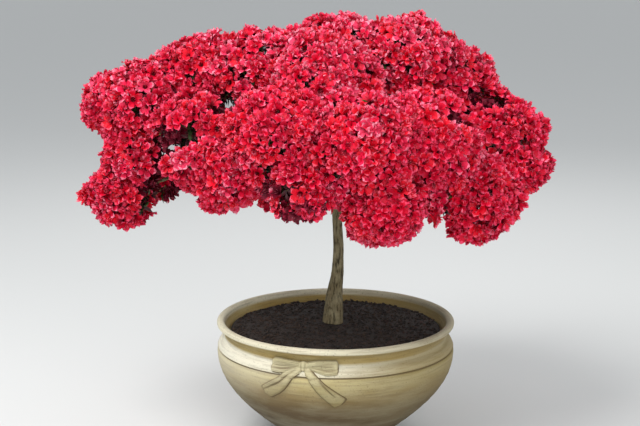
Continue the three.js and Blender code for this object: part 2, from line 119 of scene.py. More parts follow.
class NodeBench:
    """Places and joins the nodes of one material or node group."""

    def __init__(self, tree: NodeTree) -> None:
        """Takes the tree that the nodes are placed in."""
        self.tree = tree

    def feed(self, node: Node, name: str | int, value: object) -> None:
        """Sets an input to a value, or joins it to another node's output."""
        if isinstance(value, Socket):
            self.tree.links.new(value, node.inputs[name])
        else:
            node.inputs[name].default_value = value

    def set_up(self, node: Node, **inputs: object) -> Node:
        """Sets or joins a node's inputs, by their names with _ for a space, and gives the node back."""
        for name, value in inputs.items():
            self.feed(node, name.replace("_", " "), value)
        return node

    def add(self, kind: str, **inputs: object) -> Node:
        """Adds a node of a type, such as ShaderNodeBump, and sets or joins its inputs."""
        return self.set_up(self.tree.nodes.new(kind), **inputs)

    def effect(self, group: NodeTree, **inputs: object) -> Socket:
        """Places a shared effect, sets or joins its inputs and gives its first output."""
        node = self.tree.nodes.new("ShaderNodeGroup")
        node.node_tree = group
        return self.set_up(node, **inputs).outputs[0]

    def place(self) -> Socket:
        """Gives the place on the piece, which its mesh holds in metres."""
        return self.add("ShaderNodeTexCoord").outputs["Object"]

    def noise(self, place: Socket, scale: object, detail: float, roughness: float = 0.5) -> Socket:
        """Adds a noise pattern.

        Args:
            place: Where on the piece.
            scale: How fine it is, a number or a socket.
            detail: How many finer patterns are laid over the first.
            roughness: How strong the finer ones are.

        Returns:
            Its height, from 0 to 1.
        """
        node = self.add("ShaderNodeTexNoise", Vector=place, Scale=scale, Detail=detail, Roughness=roughness)
        return node.outputs["Fac"]

    def ramp(self, factor: Socket, stops: Sequence[tuple[float, Sequence[float]]]) -> Socket:
        """Adds a colour ramp.

        Args:
            factor: The socket that drives it.
            stops: Pairs of a place from 0 to 1 and a colour.

        Returns:
            The ramp's colour output.
        """
        node = self.add("ShaderNodeValToRGB", Fac=factor)
        elements = node.color_ramp.elements
        while len(elements) < len(stops):
            elements.new(0.5)
        for element, (place, colour) in zip(elements, stops):
            element.position = place
            element.color = colour
        return node.outputs["Color"]

    def mix(self, factor: object, a: object, b: object) -> Socket:
        """Mixes two colours.

        Args:
            factor: How much of b shows, a number or a socket.
            a: The first colour.
            b: The second colour.

        Returns:
            The mixed colour.
        """
        node = self.tree.nodes.new("ShaderNodeMix")
        node.data_type = "RGBA"
        for index, value in ((0, factor), (6, a), (7, b)):
            self.feed(node, index, value)
        return node.outputs[2]

    def stretch(self, place: Socket, by: Sequence[float]) -> Socket:
        """Scales coordinates along each axis, so that a pattern is drawn out where a number is small."""
        node = self.tree.nodes.new("ShaderNodeVectorMath")
        node.operation = "MULTIPLY"
        self.feed(node, 0, place)
        self.feed(node, 1, by)
        return node.outputs[0]

    def math(self, operation: str, *values: object) -> Socket:
        """Adds a math node on numbers or sockets and gives its output."""
        node = self.tree.nodes.new("ShaderNodeMath")
        node.operation = operation
        for index, value in enumerate(values):
            self.feed(node, index, value)
        return node.outputs[0]

    def times(self, a: object, b: object) -> Socket:
        """Multiplies two numbers or sockets."""
        return self.math("MULTIPLY", a, b)

    def emboss(self, shader: Node, height: Socket, strength: float, distance: float) -> None:
        """Gives a surface its fine relief.

        Args:
            shader: The surface's Principled BSDF.
            height: The relief's height, from 0 to 1.
            strength: How much of it shows.
            distance: Its full height, in metres.
        """
        bump = self.add("ShaderNodeBump", Strength=strength, Distance=distance, Height=height)
        self.feed(shader, "Normal", bump.outputs["Normal"])


class EffectLibrary:
    """The effects that more than one material uses, each a node group that is built once."""

    def __init__(self) -> None:
        """Builds the groups."""
        self.mottle = self._mottle()
        self.grain = self._grain()

    def _group(self, name: str, inputs: dict[str, tuple[str, object]], outputs: dict[str, str]) -> tuple:
        """Makes an empty group with its sockets.

        Args:
            name: The group's name.
            inputs: Each input's socket type and default.
            outputs: Each output's socket type.

        Returns:
            The group, its input node's outputs and its output node's inputs.
        """
        tree = bpy.data.node_groups.new(name, "ShaderNodeTree")
        for label, (kind, default) in inputs.items():
            socket = tree.interface.new_socket(label, in_out="INPUT", socket_type=kind)
            if default is not None:
                socket.default_value = default
        for label, kind in outputs.items():
            tree.interface.new_socket(label, in_out="OUTPUT", socket_type=kind)
        entry = tree.nodes.new("NodeGroupInput")
        ends = tree.nodes.new("NodeGroupOutput")
        return tree, entry.outputs, ends.inputs

    def _mottle(self) -> NodeTree:
        """Makes soft patches of two colours, as weather and growth leave them."""
        tree, given, result = self._group(
            "Mottle",
            {
                "Vector": ("NodeSocketVector", None),
                "Scale": ("NodeSocketFloat", 40.0),
                "Colour": ("NodeSocketColor", srgb(128, 128, 128)),
                "Patches": ("NodeSocketColor", srgb(100, 100, 100)),
                "Amount": ("NodeSocketFloat", 1.0),
            },
            {"Colour": "NodeSocketColor"},
        )
        bench = NodeBench(tree)
        patches = bench.noise(given["Vector"], given["Scale"], detail=4.0, roughness=0.6)
        share = bench.times(bench.ramp(patches, [(0.4, BLACK), (0.62, WHITE)]), given["Amount"])
        tree.links.new(bench.mix(share, given["Colour"], given["Patches"]), result["Colour"])
        return tree

    def _grain(self) -> NodeTree:
        """Makes long ridges and hollows along one direction, as bark and thrown clay have."""
        tree, given, result = self._group(
            "Grain",
            {
                "Vector": ("NodeSocketVector", None),
                "Stretch": ("NodeSocketVector", (1.0, 1.0, 0.1)),
                "Scale": ("NodeSocketFloat", 200.0),
            },
            {"Height": "NodeSocketFloat"},
        )
        bench = NodeBench(tree)
        stretched = bench.stretch(given["Vector"], given["Stretch"])
        tree.links.new(bench.noise(stretched, given["Scale"], detail=5.0, roughness=0.65), result["Height"])
        return tree


def new_material(name: str) -> tuple[Material, NodeBench, Node]:
    """Starts a material that holds a Principled BSDF.

    Args:
        name: The material's name.

    Returns:
        The material, the bench for its nodes and its Principled BSDF.
    """
    material = bpy.data.materials.new(name)
    material.use_nodes = True
    bench = NodeBench(material.node_tree)
    return material, bench, material.node_tree.nodes["Principled BSDF"]


@dataclass(frozen=True)
class MottledFinish:
    """A surface of one colour with soft patches of another, and a fine relief."""

    name: str
    colour: Colour
    patches: Colour
    patch_scale: float = 90.0
    patch_share: float = 1.0
    relief_scale: float = 420.0
    relief_detail: float = 3.0
    relief_roughness: float = 0.5
    relief_strength: float = 0.35
    relief_height: float = 0.6 * MM
    roughness: float = 0.42

    def build(self, effects: EffectLibrary) -> Material:
        """Makes the material."""
        material, bench, shader = new_material(self.name)
        place = bench.place()
        colour = bench.effect(
            effects.mottle,
            Vector=place,
            Scale=self.patch_scale,
            Colour=srgb(*self.colour),
            Patches=srgb(*self.patches),
            Amount=self.patch_share,
        )
        bench.set_up(shader, Base_Color=colour, Roughness=self.roughness)
        relief = bench.noise(place, self.relief_scale, self.relief_detail, self.relief_roughness)
        bench.emboss(shader, relief, self.relief_strength, self.relief_height)
        self.soften(bench, shader)
        return material

    def soften(self, bench: NodeBench, shader: Node) -> None:
        """Leaves the surface as it is: only petals are softer."""


@dataclass(frozen=True)
class LeafFinish(MottledFinish):
    """A small leathery leaf, with the sizes that every mottled finish starts from."""


@dataclass(frozen=True)
class PetalFinish(MottledFinish):
    """Thin soft petal tissue, a little deeper in patches."""

    patch_scale: float = 160.0
    patch_share: float = 0.7
    relief_scale: float = 700.0
    relief_strength: float = 0.25
    roughness: float = 0.55

    def soften(self, bench: NodeBench, shader: Node) -> None:
        """Dulls the petal and gives it a faint pink sheen."""
        bench.set_up(shader, Specular_IOR_Level=0.22)
        bench.set_up(shader, Sheen_Weight=0.1, Sheen_Roughness=0.35, Sheen_Tint=srgb(255, 165, 190))


@dataclass(frozen=True)
class CompostFinish(MottledFinish):
    """Moist dark potting compost, in one of its tones."""

    patch_scale: float = 110.0
    relief_scale: float = 380.0
    relief_detail: float = 6.0
    relief_roughness: float = 0.7
    relief_strength: float = 1.0
    relief_height: float = 3 * MM
    roughness: float = 0.92


@dataclass(frozen=True)
class BarkFinish:
    """Greyish brown bark with fine lengthwise cracks and lighter, worn ridges."""

    name: str
    colour: Colour
    cracks: Colour
    lichen: Colour
    lichen_share: float = 0.75
    relief: float = 1.6 * MM

    def build(self, effects: EffectLibrary) -> Material:
        """Makes the material."""
        material, bench, shader = new_material(self.name)
        place = bench.place()
        height = bench.effect(effects.grain, Vector=place, Stretch=(1.0, 1.0, 0.22), Scale=190.0)
        worn = bench.effect(
            effects.mottle,
            Vector=place,
            Scale=34.0,
            Colour=srgb(*self.colour),
            Patches=srgb(*self.lichen),
            Amount=self.lichen_share,
        )
        depth = bench.ramp(height, [(0.36, WHITE), (0.52, BLACK)])
        colour = bench.mix(depth, worn, srgb(*self.cracks))
        bench.set_up(shader, Base_Color=colour, Roughness=0.88, Specular_IOR_Level=0.25)
        bench.emboss(shader, height, strength=0.9, distance=self.relief)
        return material


@dataclass(frozen=True)
class ClayFinish:
    """Unglazed buff clay, browner and darker lower down partly as painted shade, with a painted highlight
    on its lit side, painted shade on the other side, under the lip and in creases.
    """

    name: str
    # Colour by height: browner lower down, with the darker low bands partly painted shade, and the darker
    # neck band from 0.88 to 0.945 partly painted shadow under the lip
    bands: tuple[tuple[float, Colour], ...] = (
        (0.0, (74, 58, 40)),
        (0.30, (80, 66, 46)),
        (0.46, (98, 82, 56)),
        (0.60, (138, 118, 76)),
        (0.765, (190, 175, 124)),
        (0.785, (212, 204, 178)),
        (0.855, (222, 216, 196)),
        (0.88, (162, 138, 78)),
        (0.945, (156, 133, 76)),
        (0.965, (218, 210, 184)),
    )
    bloom: Colour = (198, 196, 166)
    streak: Colour = (104, 84, 54)
    pitted: Colour = (92, 74, 50)
    # The colour of the painted shade in creases
    painted_crease_shade: Colour = (84, 64, 38)
    # Painted shade for the side away from the light, a painted highlight for the lit side, and painted
    # shade for the far shoulder
    painted_side_shade: Colour = (112, 98, 66)
    painted_highlight: Colour = (240, 240, 232)
    painted_shoulder_shade: Colour = (136, 114, 40)
    bloom_share: float = 0.22
    streak_share: float = 0.3
    pitted_share: float = 0.4
    painted_highlight_share: float = 0.24
    sway: float = 0.3
    roughness: float = 0.68
    roughness_spread: float = 0.2
    ridges: float = 0.8
    height: float = 305 * MM
    radius: float = 300 * MM

    def by_height(self, bench: NodeBench, up: Socket) -> Socket:
        """Gives the clay's colour by height, from the foot to the lip, darker low down and under the lip
        partly as painted shade.

        Args:
            bench: The bench of the material.
            up: How far up a point lies, from 0 to 1.

        Returns:
            The colour socket.
        """
        waves = bench.noise(bench.stretch(bench.place(), (0.3, 0.3, 1.8)), scale=9.0, detail=3.0)
        sway = bench.times(bench.math("SUBTRACT", waves, 0.5), self.sway)
        share = bench.math("ADD", up, bench.times(sway, bench.math("SUBTRACT", 1.0, up)))
        return bench.ramp(share, [(at, srgb(*colour)) for at, colour in self.bands])

    def by_side(self, bench: NodeBench, across: Socket, up: Socket, clay: Socket) -> Socket:
        """Paints a highlight on the upper body and shoulder of the lit side, and paints shade on the other
        side and its shoulder.

        Args:
            bench: The bench of the material.
            across: How far across a point lies, from 0 to 1.
            up: How far up it lies, from 0 to 1.
            clay: The clay's colour without this.

        Returns:
            The colour socket.
        """
        # Painted light and shade: the left side is lit, and the right side and its shoulder are shaded
        highlight_band = bench.ramp(up, [(0.5, BLACK), (0.7, WHITE), (0.86, WHITE), (0.88, BLACK)])
        lit_side = bench.times(highlight_band, bench.ramp(across, [(0.05, WHITE), (0.36, BLACK)]))
        painted_highlight = bench.mix(bench.times(lit_side, self.painted_highlight_share), clay, srgb(*self.painted_highlight))
        painted_side_shade = bench.ramp(across, [(0.45, BLACK), (0.87, GREY)])
        shoulder = bench.ramp(up, [(0.74, BLACK), (0.775, WHITE), (0.86, WHITE), (0.88, BLACK)])
        shoulder_shade_mask = bench.times(shoulder, bench.ramp(across, [(0.5, BLACK), (0.76, GREY)]))
        return bench.mix(shoulder_shade_mask, bench.mix(painted_side_shade, painted_highlight, srgb(*self.painted_side_shade)), srgb(*self.painted_shoulder_shade))

    def build(self, effects: EffectLibrary) -> Material:
        """Makes the material."""
        material, bench, shader = new_material(self.name)
        place = bench.place()
        split = bench.add("ShaderNodeSeparateXYZ", Vector=place).outputs
        up = bench.math("DIVIDE", split["Z"], self.height)
        across = bench.math("ADD", bench.math("DIVIDE", split["X"], 2 * self.radius), 0.5)
        lines = bench.effect(effects.grain, Vector=place, Stretch=(0.05, 0.05, 1.0), Scale=170.0)
        clay = bench.effect(
            effects.mottle,
            Vector=bench.stretch(place, (0.4, 0.4, 1.6)),
            Scale=14.0,
            Colour=self.by_height(bench, up),
            Patches=srgb(*self.bloom),
            Amount=self.bloom_share,
        )
        thrown = bench.times(bench.ramp(lines, [(0.40, WHITE), (0.52, BLACK)]), self.streak_share)
        streaked = bench.mix(thrown, clay, srgb(*self.streak))
        pits = bench.noise(place, scale=240.0, detail=5.0)
        speckle = bench.times(bench.ramp(pits, [(0.32, WHITE), (0.40, BLACK)]), self.pitted_share)
        speckled = bench.mix(speckle, streaked, srgb(*self.pitted))
        # Painted shade where the crease attribute is set: in the groove and in the bow's folds, pinch and
        # foot
        crease_shading = bench.tree.nodes.new("ShaderNodeAttribute")
        crease_shading.attribute_name = PAINTED_CREASE_SHADE
        side_lit = self.by_side(bench, across, up, speckled)
        colour = bench.mix(crease_shading.outputs["Fac"], side_lit, srgb(*self.painted_crease_shade))
        rough = bench.math("ADD", bench.times(pits, self.roughness_spread), self.roughness)
        bench.set_up(shader, Base_Color=colour, Roughness=rough, Specular_IOR_Level=0.3)
        relief = bench.math("ADD", bench.times(lines, self.ridges), pits)
        bench.emboss(shader, relief, strength=0.6, distance=1.2 * MM)
        return material


@dataclass
class Stock:
    """A small mesh of triangles that is repeated many times, with a finish index for each face."""

    points: np.ndarray
    faces: np.ndarray
    finishes: np.ndarray

    @classmethod
    def from_bmesh(cls, bm: BMesh) -> Stock:
        """Takes a bmesh over as triangles, and frees it.

        Args:
            bm: The shape, in metres.

        Returns:
            The stock.
        """
        bmesh.ops.triangulate(bm, faces=bm.faces[:])
        bm.verts.index_update()
        points = np.array([v.co[:] for v in bm.verts], dtype=float)
        faces = np.array([[v.index for v in f.verts] for f in bm.faces], dtype=np.int64)
        finishes = np.array([f.material_index for f in bm.faces], dtype=np.int64)
        bm.free()
        return cls(points, faces, finishes)


@dataclass
class Heap:
    """Many placed copies of stocks, joined into one mesh."""

    points: list[np.ndarray] = field(default_factory=list)
    faces: list[np.ndarray] = field(default_factory=list)
    finishes: list[np.ndarray] = field(default_factory=list)
    count: int = 0

    def add(self, points: np.ndarray, faces: np.ndarray, finishes: np.ndarray) -> None:
        """Adds one shape's points, faces and finish indices."""
        self.points.append(points)
        self.faces.append(faces + self.count)
        self.finishes.append(finishes)
        self.count += len(points)

    def add_plain(self, points: np.ndarray, faces: np.ndarray, finish: int = 0) -> None:
        """Adds one shape, given in millimetres, that has a single finish."""
        self.add(points * MM, faces, np.full(len(faces), finish, dtype=np.int64))

    def spread(self, stock: Stock, turns: np.ndarray, places: np.ndarray, shift: np.ndarray) -> None:
        """Adds a copy of a stock at each place.

        Args:
            stock: The shape.
            turns: For each copy a 3 by 3 matrix that turns and scales it.
            places: For each copy its place.
            shift: For each copy what is added to the indices of its zones from BLADE on.
        """
        copies = len(places)
        if not copies:
            return
        points = np.einsum("nij,pj->npi", turns, stock.points) + places[:, None, :]
        offsets = np.arange(copies)[:, None, None] * len(stock.points)
        faces = stock.faces[None] + offsets
        coloured = (stock.finishes >= Zone.BLADE)[None, :] * shift[:, None]
        self.add(points.reshape(-1, 3), faces.reshape(-1, 3), (stock.finishes[None] + coloured).reshape(-1))

    def piece(
        self, name: str, finishes: Sequence[Material], slot: Slot, smooth: bool = True
    ) -> bpy.types.Object:
        """Makes the joined object and gives it to the frame.

        Args:
            name: The piece's name.
            finishes: Its materials, in the order of the finish indices.
            slot: Not used.
            smooth: Whether its faces are shaded smooth.

        Returns:
            The piece.
        """
        mesh = bpy.data.meshes.new(name)
        mesh.from_pydata(np.concatenate(self.points), [], np.concatenate(self.faces))
        mesh.polygons.foreach_set("material_index", np.concatenate(self.finishes).astype(np.int32))
        mesh.polygons.foreach_set("use_smooth", np.full(len(mesh.polygons), smooth))
        return give(name, mesh, finishes)


@dataclass
class Placings:
    """How the copies of a few shapes stand, noted one by one."""

    picks: list[int] = field(default_factory=list)
    turns: list[np.ndarray] = field(default_factory=list)
    places: list[np.ndarray] = field(default_factory=list)
    shifts: list[int] = field(default_factory=list)

    def note(self, pick: int, turn: np.ndarray, place: np.ndarray, shift: int = 0) -> None:
        """Notes one copy.

        Args:
            pick: Which shape it is.
            turn: The matrix that turns and scales it.
            place: Where its foot stands, in millimetres.
            shift: What is added to the indices of its zones from BLADE on.
        """
        self.picks.append(pick)
        self.turns.append(turn)
        self.places.append(place * MM)
        self.shifts.append(shift)

    def spread(self, heap: Heap, stocks: Sequence[Stock]) -> None:
        """Adds all copies to a heap, one shape after the other."""
        picks, turns = np.array(self.picks), np.array(self.turns)
        places, shifts = np.array(self.places), np.array(self.shifts)
        for number, stock in enumerate(stocks):
            chosen = picks == number
            heap.spread(stock, turns[chosen], places[chosen], shifts[chosen])


def give(name: str, mesh: bpy.types.Mesh, finishes: Sequence[Material]) -> bpy.types.Object:
    """Links a finished mesh as a piece that rides on the part's one body.

    Args:
        name: The piece's name.
        mesh: Its mesh, in metres and in place.
        finishes: Its materials.

    Returns:
        The piece.
    """
    for finish in finishes:
        mesh.materials.append(finish)
    mesh.update()
    piece = bpy.data.objects.new(name, mesh)
    bpy.context.scene.collection.objects.link(piece)
    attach(piece, BODY)
    LOG.info("%s: %d faces", name, len(mesh.polygons))
    return piece


def give_bmesh(name: str, bm: BMesh, finishes: Sequence[Material]) -> bpy.types.Object:
    """Turns a bmesh with smooth faces into a piece, and frees it.

    Args:
        name: The piece's name.
        bm: Its shape, in metres and in place.
        finishes: Its materials.

    Returns:
        The piece.
    """
    for face in bm.faces:
        face.smooth = True
    mesh = bpy.data.meshes.new(name)
    bm.to_mesh(mesh)
    bm.free()
    return give(name, mesh, finishes)


def along(points: np.ndarray, share: float) -> tuple[np.ndarray, np.ndarray]:
    """Finds a place along a path by its length.

    Args:
        points: The path's points.
        share: How far along, from 0 to 1.

    Returns:
        The point there and the direction of the path.
    """
    steps = np.diff(points, axis=0)
    lengths = np.concatenate([[0], np.cumsum(np.linalg.norm(steps, axis=1))])
    target = share * lengths[-1]
    index = int(np.clip(np.searchsorted(lengths, target) - 1, 0, len(steps) - 1))
    rest = (target - lengths[index]) / max(lengths[index + 1] - lengths[index], 1e-9)
    return points[index] + rest * steps[index], steps[index] / np.linalg.norm(steps[index])


def unit(vector: np.ndarray) -> np.ndarray:
    """Scales a vector to length 1."""
    return vector / np.linalg.norm(vector)


def bezier(control: Sequence[np.ndarray], samples: int = 40) -> np.ndarray:
    """Draws a cubic curve.

    Args:
        control: Its four control points.
        samples: How many points it is drawn with.

    Returns:
        The points.
    """
    t = np.linspace(0, 1, samples)[:, None]
    a, b, c, d = control
    return (1 - t) ** 3 * a + 3 * (1 - t) ** 2 * t * b + 3 * (1 - t) * t**2 * c + t**3 * d


@dataclass
class RodStock:
    """A straight closed rod of unit radius and length, which is bent along paths to make wood."""

    sides: int
    rings: int
    shape: Stock = field(init=False)

    def __post_init__(self) -> None:
        """Draws the rod up from a circle, with z from 0 to 1."""
        bm = bmesh.new()
        bmesh.ops.create_circle(bm, cap_ends=True, cap_tris=True, radius=1.0, segments=self.sides)
        bmesh.ops.reverse_faces(bm, faces=bm.faces[:])
        edges = [e for e in bm.edges if e.is_boundary]
        for _ in range(self.rings - 1):
            drawn = bmesh.ops.extrude_edge_only(bm, edges=edges)["geom"]
            top = [g for g in drawn if isinstance(g, bmesh.types.BMVert)]
            bmesh.ops.translate(bm, verts=top, vec=(0, 0, 1 / (self.rings - 1)))
            edges = [g for g in drawn if isinstance(g, bmesh.types.BMEdge) and g.is_boundary]
        tip = bmesh.ops.contextual_create(bm, geom=edges)["faces"]
        bmesh.ops.poke(bm, faces=tip)
        bmesh.ops.recalc_face_normals(bm, faces=bm.faces[:])
        self.shape = Stock.from_bmesh(bm)

    def bend(self, path: np.ndarray, radius: Callable[[float, float], float]) -> np.ndarray:
        """Bends the rod along a path.

        Args:
            path: The path's points.
            radius: The radius at a share of the length and an angle.

        Returns:
            The bent rod's points.
        """
        points = self.shape.points
        rows = np.rint(points[:, 2] * (self.rings - 1)).astype(int)
        middles, ways = zip(*(along(path, i / (self.rings - 1)) for i in range(self.rings)))
        side = unit(np.cross(ways[0], [0.3, 1.0, 0.1]))
        sides = []
        for way in ways:
            side = unit(side - way * side.dot(way))
            sides.append(side)
        out = np.empty_like(points)
        for index, (point, row) in enumerate(zip(points, rows)):
            other = np.cross(ways[row], sides[row])
            flat = math.hypot(point[0], point[1])
            angle = math.atan2(point[1], point[0])
            reach = radius(row / (self.rings - 1), angle) * flat
            out[index] = middles[row] + reach * (math.cos(angle) * sides[row] + math.sin(angle) * other)
        return out

    def lay(self, heap: Heap, path: np.ndarray, radii: tuple[float, float]) -> None:
        """Adds a copy of the rod, bent along a path, that tapers from one radius to another."""
        foot, tip = radii
        heap.add_plain(self.bend(path, lambda share, _: foot + (tip - foot) * share), self.shape.faces)


@dataclass
class Mass:
    """One mass of blossom, in millimetres: where it is, how big, and what its limb grows from."""

    name: str
    bearing: float
    reach: float
    height: float
    size: float
    bearer: str
    at: float
    bloom_from: float = -0.42
    seed: int = 0
    core_share: float = 0.84
    core_gap: float = 5.0
    lumps: float = 0.06
    lump_turns: float = 3.2
    walls: tuple[np.ndarray, np.ndarray] | None = None

    @property
    def middle(self) -> np.ndarray:
        """The mass's middle."""
        angle = math.radians(self.bearing)
        return np.array([self.reach * math.cos(angle), self.reach * math.sin(angle), self.height])

    @property
    def outward(self) -> np.ndarray:
        """The direction in which the mass faces out of the crown."""
        return unit(self.middle - HEART)

    def wall_off(self, masses: Sequence[Mass]) -> None:
        """Works out the flat walls between this mass's space and the others'."""
        here = self.middle / SQUASH
        others = [m for m in masses if m is not self]
        apart = np.array([m.middle / SQUASH - here for m in others])
        lengths = np.linalg.norm(apart, axis=1)
        sizes = np.array([m.size for m in others])
        distances = (lengths**2 + self.size**2 - sizes**2) / (2 * lengths)
        self.walls = (apart / lengths[:, None], distances)

    def swell(self, direction: np.ndarray) -> float:
        """Tells how uneven the mass is in a direction, as a factor about 1."""
        x, y, z = self.lump_turns * direction
        waves = math.sin(x + self.seed) * math.cos(1.3 * y - self.seed) * math.cos(z + 2 * self.seed)
        return 1 + self.lumps * waves

    def to_wall(self, direction: np.ndarray, gap: float = 0.0) -> float:
        """Tells how far ahead the nearest wall is, less a gap, in stretched millimetres."""
        ways, distances = self.walls
        towards = ways @ direction
        facing = towards > 0.01
        return float(((distances[facing] - gap) / towards[facing]).min(initial=9 * self.size))

    def core_reach(self, direction: np.ndarray) -> float:
        """Tells how far the dense core reaches in a direction, in stretched millimetres."""
        bare = self.size * self.core_share * self.swell(direction)
        return min(bare, self.to_wall(direction, self.core_gap))

    def at_reach(self, direction: np.ndarray, reach: float) -> np.ndarray:
        """Gives the point at a stretched reach from the middle."""
        return self.middle + reach * direction * SQUASH


def crown_masses() -> list[Mass]:
    """Lists the masses, those that show from the front first, each walled off from the others.

    Returns:
        The masses.
    """
    front = [
        Mass("top_left", -95.7, 35, 943, 138, "trunk", 705),
        Mass("top_right", -19.1, 176, 949, 131, "trunk", 686),
        Mass("top_front", -98, 202, 906, 136, "trunk", 697),
        Mass("crest_left", -170.7, 182, 919, 128, "top_left", 0.35),
        Mass("shoulder_left", 176, 318, 902, 130, "trunk", 664),
        Mass("shoulder_right", 2.1, 269, 890, 125, "trunk", 655),
        Mass("brow_left", -176, 456, 852, 117, "shoulder_left", 0.5),
        Mass("cheek_left", 172.8, 546, 832, 99, "shoulder_left", 0.62),
        Mass("flank_left", -173.9, 480, 724, 95, "trunk", 640),
        Mass("tail_left", -177, 518, 627, 99, "flank_left", 0.8),
        Mass("front_left", -141.8, 387, 787, 133, "trunk", 640),
        Mass("front_mid", -110, 365, 808, 132, "trunk", 668),
        Mass("front_right", -82, 375, 796, 134, "trunk", 636),
        Mass("flank_front", -55.1, 348, 792, 134, "trunk", 662),
        Mass("flank_right", -9.3, 390, 772, 122, "shoulder_right", 0.45),
        Mass("tip_right", -14.5, 442, 706, 87, "trunk", 628),
        Mass("skirt_left", -129.5, 385, 722, 96, "front_left", 0.6),
        Mass("skirt_mid", -101.4, 401, 702, 87, "front_mid", 0.6),
        Mass("skirt_right", -74.8, 390, 660, 100, "front_right", 0.6),
        Mass("skirt_far", -36.4, 388, 650, 116, "flank_front", 0.6),
        Mass("inner_left", 172.3, 446, 642, 64, "flank_left", 0.5),
        Mass("top_back", 92, 185, 912, 141, "trunk", 694),
    ]
    back = []
    for index, (side, height) in enumerate((("right", 648), ("mid", 672), ("left", 650))):
        bearing = 38 + 49 * index
        back.append(Mass(f"back_{side}", bearing, 356, 802, 147, "trunk", height))
        back.append(Mass(f"skirt_back_{side}", bearing - 13, 402, 666, 114, f"back_{side}", 0.6))
    masses = front + back
    for index, mass in enumerate(masses):
        mass.seed = index + 1
        mass.wall_off(masses)
    return masses


